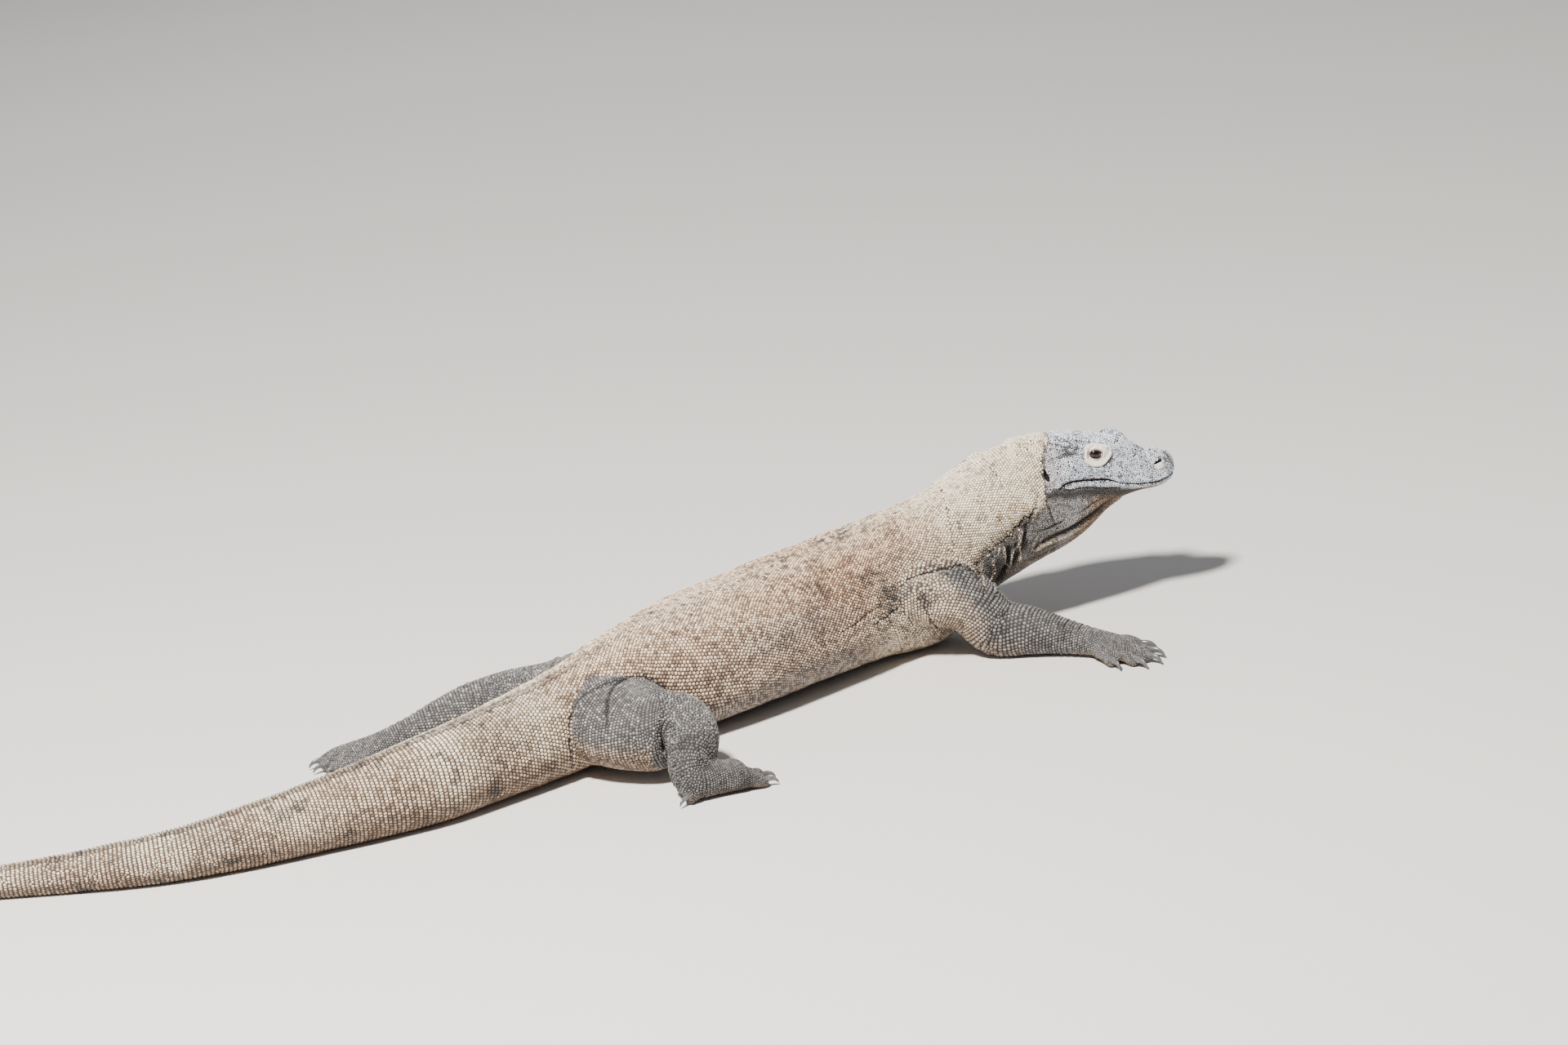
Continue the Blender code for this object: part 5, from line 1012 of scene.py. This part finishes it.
def hide(name, skin=False):
    """Scaled hide: bead colours by region over dark gaps, read from the colour attributes with their painted light and
    shade; each bead's top is lightened as a painted highlight, and the gaps are the darker skin deepened by painted
    shade.
    """
    g = Nodes(name); A = g.split(g.attr("marks_and_painted_light_a")); B = g.split(g.attr("marks_and_painted_shade_b")); S = g.split(g.attr("scale")); root = g.attr("root").outputs["Vector"]
    grey, cream, blue, tan = A; lid, brown, dark, spk = B; lev, r1, r2, crest = S
    blot = g.noise(root, 38, 3); fine = g.noise(root, 120, 2)
    t = g.math("ADD", g.math("MULTIPLY", r1, 0.58), g.math("ADD", g.math("MULTIPLY", blot, 0.60), g.math("MULTIPLY", fine, 0.40)))
    t = g.math("SUBTRACT", t, 0.29, clamp=True)
    base = g.ramp(t, (0.16, (.13, .080, .052)), (.36, (.38, .255, .17)), (.58, (.725, .54, .39)), (.85, (.945, .79, .62)))
    orange = g.ramp(t, (0.18, (.080, .045, .030)), (.40, (.30, .165, .090)), (.60, (.64, .39, .22)), (.85, (.88, .65, .43)))
    pale = g.ramp(t, (0.10, (.33, .24, .16)), (.34, (.70, .585, .425)), (.58, (.91, .81, .62)), (.85, (.97, .925, .775)))
    ts = g.math("ADD", g.math("MULTIPLY", t, .68), .16)
    slate = g.ramp(ts, (0.15, (.034, .033, .034)), (.42, (.104, .102, .102)), (.66, (.205, .199, .197)), (.90, (.37, .355, .34)))
    th = g.math("ADD", g.math("MULTIPLY", r1, 0.46), g.math("ADD", g.math("MULTIPLY", blot, 0.70), g.math("MULTIPLY", fine, 0.62)))
    th = g.math("SUBTRACT", th, 0.385, clamp=True)
    steel = g.ramp(th, (0.08, (.15, .165, .215)), (.34, (.41, .455, .55)), (.56, (.745, .81, .915)), (.82, (.92, .97, 1.0)))
    lids = g.ramp(t, (0.10, (.88, .83, .73)), (.40, (.97, .94, .84)), (.85, (1.0, .985, .92)))
    umber = g.ramp(t, (0.15, (.050, .028, .015)), (.5, (.165, .100, .058)), (.85, (.38, .265, .17)))
    col = g.mix(tan, base, orange); col = g.mix(cream, col, pale); col = g.mix(grey, col, slate); col = g.mix(blue, col, steel); col = g.mix(brown, col, umber); col = g.mix(lid, col, lids)
    pick = g.math("GREATER_THAN", g.math("ADD", g.math("MULTIPLY", spk, .17), r2), 1.0)
    col = g.mix(g.math("MULTIPLY", pick, .6), col, (.50, .47, .42))
    # dark spots and near black from the dark channel: dark marks, and the painted shade of creases, hollows and under
    # the jaw
    spot = g.math("GREATER_THAN", g.math("ADD", g.math("MULTIPLY", dark, .55), r2), 1.12)
    col = g.mix(g.math("MULTIPLY", spot, .7), col, (.045, .035, .030)); col = g.mix(g.math("MULTIPLY", g.step(dark, .08, .95), .92), col, (.014, .012, .012))
    col = g.mix(g.math("MULTIPLY", crest, .6), col, (.075, .066, .058))
    # gap colour: the darker skin between the scales deepened as painted shade; the dark channel makes it near black
    gap = g.mix(grey, (.062, .040, .028), (.034, .031, .031)); gap = g.mix(cream, gap, (.085, .062, .044)); gap = g.mix(blue, gap, (.024, .026, .034)); gap = g.mix(lid, gap, (.76, .68, .58)); gap = g.mix(dark, gap, (.010, .009, .010))
    if skin:
        out = g.mix(lid, gap, g.mix(dark, (.66, .58, .49), (.03, .022, .02)))
        rough = 0.75
    else:
        # each bead's foot takes the gap colour, and its top is lightened towards white as a painted highlight
        out = g.mix(g.step(lev, .04, .56), gap, col); out = g.mix(g.math("MULTIPLY", g.step(lev, .70, 1.0), g.math("SUBTRACT", .14, g.math("MULTIPLY", grey, .085))), out, (1.0, .97, .93)); rough = g.math("SUBTRACT", .45, g.math("MULTIPLY", blue, .11))
    g.link(out, g.b.inputs["Base Color"])
    objc = g.new("ShaderNodeTexCoord").outputs["Object"]
    rn = g.noise(objc, 900, 2); g.link(g.math("ADD", g.math("MULTIPLY", rn, .22), g.math("SUBTRACT", rough, .11)), g.b.inputs["Roughness"])
    bp = g.new("ShaderNodeBump"); bp.inputs["Strength"].default_value = 0.25; bp.inputs["Distance"].default_value = 0.0004; g.link(g.noise(objc, 1400, 2), bp.inputs["Height"]); g.link(bp.outputs[0], g.b.inputs["Normal"])
    g.b.inputs["Specular IOR Level"].default_value = 0.30
    return g.m


def horn():
    g = Nodes("claw_horn_slate"); S = g.split(g.attr("scale")); objc = g.new("ShaderNodeTexCoord").outputs["Object"]
    n = g.noise(objc, 260, 3); streak = g.noise(objc, 900, 2); t = g.math("ADD", g.math("MULTIPLY", n, .6), g.math("MULTIPLY", streak, .4))
    col = g.ramp(t, (.3, (.036, .036, .038)), (.5, (.098, .098, .103)), (.72, (.21, .21, .22)))
    col = g.mix(g.step(S[0], .60, 1.0), col, (.085, .085, .09)); col = g.mix(g.math("MULTIPLY", g.step(S[0], .20, 0.0), .7), col, (.10, .088, .078))
    g.link(col, g.b.inputs["Base Color"]); g.link(g.math("ADD", g.math("MULTIPLY", streak, .2), .16), g.b.inputs["Roughness"])
    bp = g.new("ShaderNodeBump"); bp.inputs["Strength"].default_value = .2; bp.inputs["Distance"].default_value = .0003; g.link(streak, bp.inputs["Height"]); g.link(bp.outputs[0], g.b.inputs["Normal"])
    return g.m


def eye_material():
    g = Nodes("eye_wet"); S = g.split(g.attr("scale")); objc = g.new("ShaderNodeTexCoord").outputs["Object"]
    n = g.noise(objc, 420, 3); e = g.math("ADD", S[0], g.math("MULTIPLY", g.math("SUBTRACT", n, .5), .05))
    col = g.ramp(e, (.0, (.003, .003, .004)), (.19, (.003, .003, .004)), (.23, (.010, .007, .007)), (.31, (.016, .010, .009)), (.43, (.009, .007, .007)), (.50, (.07, .034, .030)), (.58, (.30, .16, .14)), (.75, (.48, .31, .27)), (.95, (.52, .36, .30)))
    streak = g.mix(g.math("MULTIPLY", g.math("SUBTRACT", n, .35), .9, clamp=True), col, (.050, .027, .017)); iris = g.math("MULTIPLY", g.step(e, .21, .25), g.step(e, .34, .30))
    g.link(g.mix(g.math("MULTIPLY", iris, .5), col, streak), g.b.inputs["Base Color"]); g.b.inputs["Roughness"].default_value = .06
    g.b.inputs["Specular IOR Level"].default_value = .25; g.b.inputs["Coat Weight"].default_value = .45; g.b.inputs["Coat Roughness"].default_value = .02
    return g.m


# ------------------------------------------------------------------ eyes, lid margins and claws
def simple_piece(name, V, F, mat, level, nodes, smooth=True):
    me = bpy.data.meshes.new(name); me.from_pydata((V + SHIFT).tolist(), [], F); me.update(); set_attr(me, "scale", "FLOAT_COLOR", level)
    me.polygons.foreach_set("use_smooth", np.ones(len(me.polygons), bool)); me.materials.append(mat)
    ob = bpy.data.objects.new(name, me); bpy.context.scene.collection.objects.link(ob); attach(ob, "root")
    if nodes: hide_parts(*nodes)
    return ob


def eyes(mat, margin):
    for side, sg in (("left", 1), ("right", -1)):
        c = head_point((EYE_U, sg * EYE_Y, EYE_Z)); ax = HAX.T @ np.array((.10, sg * .985, .06)); ax /= np.linalg.norm(ax)
        e1 = np.cross(ax, HAX[2]); e1 /= np.linalg.norm(e1); e2 = np.cross(ax, e1); th = np.concatenate([np.linspace(0, 1.25, 34), np.linspace(1.35, np.pi, 18)[:-1]])[1:]
        ph = np.linspace(0, 2 * np.pi, 64, endpoint=False); r = EYE_R * .001; V = []; lev = []
        for t in th:
            bulge = 1 + .045 * sstep(.62 - t, 0, .35)
            V.append(c + (ax * math.cos(t) + (np.cos(ph)[:, None] * e1 + np.sin(ph)[:, None] * e2) * math.sin(t)) * r * bulge); lev.append(np.full(64, t / 1.25 * .8))
        P, F = loft(np.array(V)); P[-2] = c + ax * r * 1.045; P[-1] = c - ax * r
        lv = np.clip(np.concatenate([np.concatenate(lev), [0, 1]]), 0, 1); z = np.zeros_like(lv)
        simple_piece("eyeball_" + side, P, F, mat, np.stack([lv, z, z, z + 1], 1), ["eye_" + side])
        # rim of the lids along the opening
        ph = np.linspace(0, 2 * np.pi, 72, endpoint=False); cc, ss = math.cos(math.radians(OPEN[4])), math.sin(math.radians(OPEN[4]))
        x = np.cos(ph) * (OPEN[0] + .9 * (np.cos(ph) > 0)) * .97; y = np.sin(ph) * OPEN[1] * .97; a = x * cc - y * ss + OPEN[2]; b = x * ss + y * cc + OPEN[3]
        rr = np.minimum(np.hypot(a, b), EYE_R + .5); out = EYE_Y + np.sqrt((EYE_R + .75) ** 2 - rr ** 2); Q = head_point(np.stack([EYE_U + a, sg * out, EYE_Z + b], 1))
        T = np.roll(Q, -1, 0) - np.roll(Q, 1, 0); T /= np.linalg.norm(T, axis=1)[:, None]; nrm = Q - c; nrm /= np.linalg.norm(nrm, axis=1)[:, None]; bn = np.cross(T, nrm)
        k = 10; w = np.linspace(0, 2 * np.pi, k, endpoint=False); G = (Q[:, None] + (np.cos(w)[None, :, None] * nrm[:, None] * .0008 + np.sin(w)[None, :, None] * bn[:, None] * (.0009 + .0010 * np.sin(ph).clip(0, 1)[:, None, None]))).reshape(-1, 3)
        F = [(i * k + j, i * k + (j + 1) % k, ((i + 1) % 72) * k + (j + 1) % k, ((i + 1) % 72) * k + j) for i in range(72) for j in range(k)]
        v0, v1, v2 = G[F[0][0]], G[F[0][1]], G[F[0][2]]
        if np.cross(v1 - v0, v2 - v0) @ (v0 - Q[0]) < 0: F = [f[::-1] for f in F]
        z = np.zeros(len(G)); lv = np.tile(np.clip(np.cos(w), 0, 1), 72)
        simple_piece("lid_margin_" + side, G, F, margin, np.stack([lv, z, z, z + 1], 1), [])


def margin_material():
    g = Nodes("lid_margin"); objc = g.new("ShaderNodeTexCoord").outputs["Object"]; S = g.split(g.attr("scale")); n = g.noise(objc, 700, 2)
    # dark all round but its outer face: the dark rim of the lids, partly painted shade along the eye's opening
    col = g.mix(g.step(S[0], .45, .95), (.020, .013, .014), g.mix(n, (.16, .11, .095), (.40, .31, .26))); g.link(col, g.b.inputs["Base Color"])
    g.link(g.math("ADD", g.math("MULTIPLY", n, .2), .3), g.b.inputs["Roughness"]); return g.m


def claws(mat):
    for key, limb, part in (("R_fore", "right", "hand"), ("L_fore", "left", "hand"), ("R_hind", "right", "foot"), ("L_hind", "left", "foot")):
        V, F, lev, o = [], [], [], 0
        for toe, claw in digits(key):
            Cw = np.array(claw, float); Cw[:, 3:] *= 1.22 if part == "hand" else .95; Cw[:, :3] = Cw[0, :3] + (Cw[:, :3] - Cw[0, :3]) * (1.0 if part == "hand" else .84); claw = [tuple(q) for q in Cw]; P, f = tube(claw, 40, 20, 2.0, 4, 0.0)
            t = np.clip(np.sum((P - Cw[0, :3]) * (Cw[-1, :3] - Cw[0, :3]), 1) / np.sum((Cw[-1, :3] - Cw[0, :3]) ** 2), 0, 1)
            P[:, 2] = np.maximum(P[:, 2], .0003); V.append(P); F += [tuple(i + o for i in q) for q in f]; o += len(P); lev.append(t)
        lv = np.concatenate(lev); z = np.zeros_like(lv)
        simple_piece(f"claws_{part}_{limb}", np.vstack(V), F, mat, np.stack([lv, z, z, z + 1], 1), [f"claw_{part}_{limb}_{i}" for i in range(1, 6)])


# ------------------------------------------------------------------ making the animal
import time
_t = time.time()
skin, skin_me, skin_crease_shade = build_skin(); print("skin", len(skin_me.polygons), round(time.time() - _t, 1))
S = Skin(skin_me)
R = find_roots(S); print("roots", len(R["P"]), round(time.time() - _t, 1))
sreg, stoe, swhich, sloc, sH = regions(S.P)
A, B = markings_and_painted_light(S.P, S.N, sreg, stoe, sloc, sH, skin_crease_shade)
R["A"], R["B"] = markings_and_painted_light(R["P"], R["N"], R["reg"], R["toe"], R["loc"], R["H"], carve(R["P"], R["N"], R["reg"], R["loc"], R["H"])[1])
n = len(R["P"]); R["rnd"] = RNG.random((n, 3)); R["crest"] = np.zeros(n); R["raise"] = np.ones(n)
s_, a_, b_, f_ = R["loc"]["body"]; onc = (R["reg"] == 0) & (s_ < ST["hip"]) & (b_ > 0) & (abs(a_) < .0085) & (abs(a_) > .0008)
R["crest"][onc] = (.0022 * sstep(ST["hip"] - s_[onc], 0, .12)) * (.6 + .4 * sstep(s_[onc], .0, .3))
print("marks", round(time.time() - _t, 1))
coat_mat = hide("hide_scales"); skin_mat = hide("hide_between_scales", True)
set_attr(skin_me, "marks_and_painted_light_a", "FLOAT_COLOR", A); set_attr(skin_me, "marks_and_painted_shade_b", "FLOAT_COLOR", B); set_attr(skin_me, "root", "FLOAT_VECTOR", S.P)
set_attr(skin_me, "scale", "FLOAT_COLOR", np.tile((0, .5, .5, 0), (len(S.P), 1)))
ch = chart_of(sreg, stoe, sloc, sH)
lay = skin_me.uv_layers.new(name="OFBake"); lv = np.empty(len(skin_me.loops), np.int32); skin_me.loops.foreach_get("vertex_index", lv)
ls = np.empty(len(skin_me.polygons), np.int32); skin_me.polygons.foreach_get("loop_start", ls); lt = np.empty(len(skin_me.polygons), np.int32); skin_me.polygons.foreach_get("loop_total", lt)
first = np.repeat(lv[ls], lt); freg = sreg[first]
UV = np.empty((len(lv), 2))
slots = {0: (0, 0, 1, .50), 5: (0, .51, .36, .49), 1: (.37, .51, .31, .24), 2: (.69, .51, .31, .24), 3: (.37, .76, .31, .24), 4: (.69, .76, .31, .24)}
for r_, (x0, y0, w0, h0) in slots.items():
    cc = chart_of(np.full(len(S.P), r_), stoe, sloc, sH); m = freg == r_; v = cc[lv[m]].copy(); v0 = cc[first[m]]
    v[:, 1] += np.round(v0[:, 1] - v[:, 1]); UV[m] = np.stack([x0 + np.clip(v[:, 0], 0, 1) * w0, y0 + np.clip(v[:, 1], 0, 1) * h0], 1)
lay.uv.foreach_set("vector", UV.astype(np.float32).ravel())
skin_me.polygons.foreach_set("use_smooth", np.ones(len(skin_me.polygons), bool))
skin_me.vertices.foreach_set("co", (S.P + SHIFT).astype(np.float32).ravel()); skin_me.update(); skin_me.materials.append(skin_mat)
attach(skin, "root")
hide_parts(*[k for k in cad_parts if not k.startswith(("eye", "claw"))])
chart = chart_of(R["reg"], R["toe"], R["loc"], R["H"])
bead = dict(fill=.97, top=.76, height=.27, shoulder=.68, lean=0.0, slit=.05)
plate = dict(fill=.96, top=.78, height=.21, shoulder=.74, lean=.04, slit=.14)
small = dict(fill=.98, top=.82, height=.25, shoulder=.68, lean=0.0)
pale_bead = dict(fill=.98, top=.80, height=.25, shoulder=.68, lean=0.0, open=.24)
fine = dict(fill=.99, top=.84, height=.24, shoulder=.68, lean=0.0)
for K, start in ((7, 0.0), (8, 0.0)):
    R[("rad", K, start)] = radii(R, K, start)
tail_ = (R["reg"] == 0) & (s_ < ST["t10"]); head_ = R["reg"] == 5; gul_ = gular_mask(R["H"]) & (R["reg"] == 0)
groups = [("coat_tail", tail_, 8, plate, "hide"), ("coat_trunk", (R["reg"] == 0) & ~tail_ & ~gul_ & (s_ < ST["shld"]), 7, bead, "hide"),
          ("coat_neck", (R["reg"] == 0) & ~tail_ & ~gul_ & (s_ >= ST["shld"]), 7, pale_bead, "hide"), ("coat_throat", gul_, 7, small, "hide"), ("coat_head", head_, 7, fine, "hide_head")]
groups += [("coat_arms", np.isin(R["reg"], (1, 2)), 7, bead, "hide_dark"), ("coat_legs", np.isin(R["reg"], (3, 4)), 7, bead, "hide_dark")]
total = 0
for name, m, K, style, slot in groups:
    idx = np.where(m)[0]
    if not len(idx): continue
    key = R["loc"]["body"][0][idx]
    if name in ("coat_arms", "coat_legs"): key = R["reg"][idx] + R["P"][idx, 0] * .01
    if name == "coat_head": key = R["H"][idx, 0]
    idx = idx[np.argsort(key, kind="stable")]; parts = int(np.ceil(len(idx) * 3 * K / 185000))
    for j, sub in enumerate(np.array_split(idx, parts)):
        C = chart.copy(); q = C[sub]
        if name in ("coat_arms", "coat_legs"): C[sub, 1] = (q[:, 1] + (R["reg"][sub] % 2 == 0)) / 2
        q = C[sub]; lo, hi = q.min(0), q.max(0); C[sub] = .004 + .992 * (q - lo) / np.maximum(hi - lo, 1e-6)
        ob, t = coat_piece(f"{name}_{j + 1}", R, sub, K, 0.0, C, coat_mat, style); total += t
print("scales", n, "triangles", total, round(time.time() - _t, 1))
eyes(eye_material(), margin_material()); claws(horn())
print("done", round(time.time() - _t, 1))


# ------------------------------------------------------------------ floor, light, camera
def stage():
    S = SHIFT
    me = bpy.data.meshes.new("floor"); r = 40.0
    me.from_pydata([(-r, -r, 0), (r, -r, 0), (r, r, 0), (-r, r, 0)], [], [(0, 1, 2, 3)]); me.update()
    ob = bpy.data.objects.new("floor", me); bpy.context.scene.collection.objects.link(ob)
    m = bpy.data.materials.new("floor_pale"); m.use_nodes = True; b = m.node_tree.nodes["Principled BSDF"]
    b.inputs["Base Color"].default_value = (0.72, 0.70, 0.68, 1); b.inputs["Roughness"].default_value = 0.9
    ob.data.materials.append(m)
    for name, loc, aim, size, power, col in (
            ("key", (-2.3, -1.5, 4.7), (0.15, 0, 0.1), 0.7, 960, (1.0, 0.95, 0.885)),
            ("fill", (-6.5, 0.8, 2.2), (0.0, 0, 0.1), 3.0, 34, (0.93, 0.96, 1.0)),
            ("back", (3.0, 4.5, 3.2), (0.1, 0, 0.1), 3.0, 44, (1, 1, 1))):
        l = bpy.data.lights.new(name, "AREA"); l.shape = "DISK"; l.size = size; l.energy = power; l.color = col
        o = bpy.data.objects.new(name, l); bpy.context.scene.collection.objects.link(o)
        p = np.array(loc) + S; o.location = p
        o.rotation_euler = (Vector(np.array(aim) + S) - Vector(p)).to_track_quat("-Z", "Y").to_euler()
    w = bpy.data.worlds.new("studio"); bpy.context.scene.world = w; w.use_nodes = True
    w.node_tree.nodes["Background"].inputs[0].default_value = (0.92, 0.95, 1.0, 1); w.node_tree.nodes["Background"].inputs[1].default_value = 0.225
    E, AZ, ROLL = math.radians(18), math.radians(34.5), math.radians(6)
    fwd = Vector((math.sin(AZ) * math.cos(E), math.cos(AZ) * math.cos(E), -math.sin(E)))
    right = Vector((math.cos(AZ), -math.sin(AZ), 0)); up = right.cross(fwd)
    r2 = right * math.cos(ROLL) - up * math.sin(ROLL); u2 = up * math.cos(ROLL) + right * math.sin(ROLL)
    cam = bpy.data.cameras.new("camera"); cam.lens = 120; cam.sensor_width = 36; cam.clip_end = 200
    o = bpy.data.objects.new("camera", cam); bpy.context.scene.collection.objects.link(o)
    from mathutils import Matrix
    o.matrix_world = Matrix.Translation(Vector((-3.70583757, -5.93354796, 2.59877073)) + Vector(S)) @ Matrix((r2, u2, -fwd)).transposed().to_4x4()
    bpy.context.scene.camera = o


stage()
bpy.context.view_layer.update()
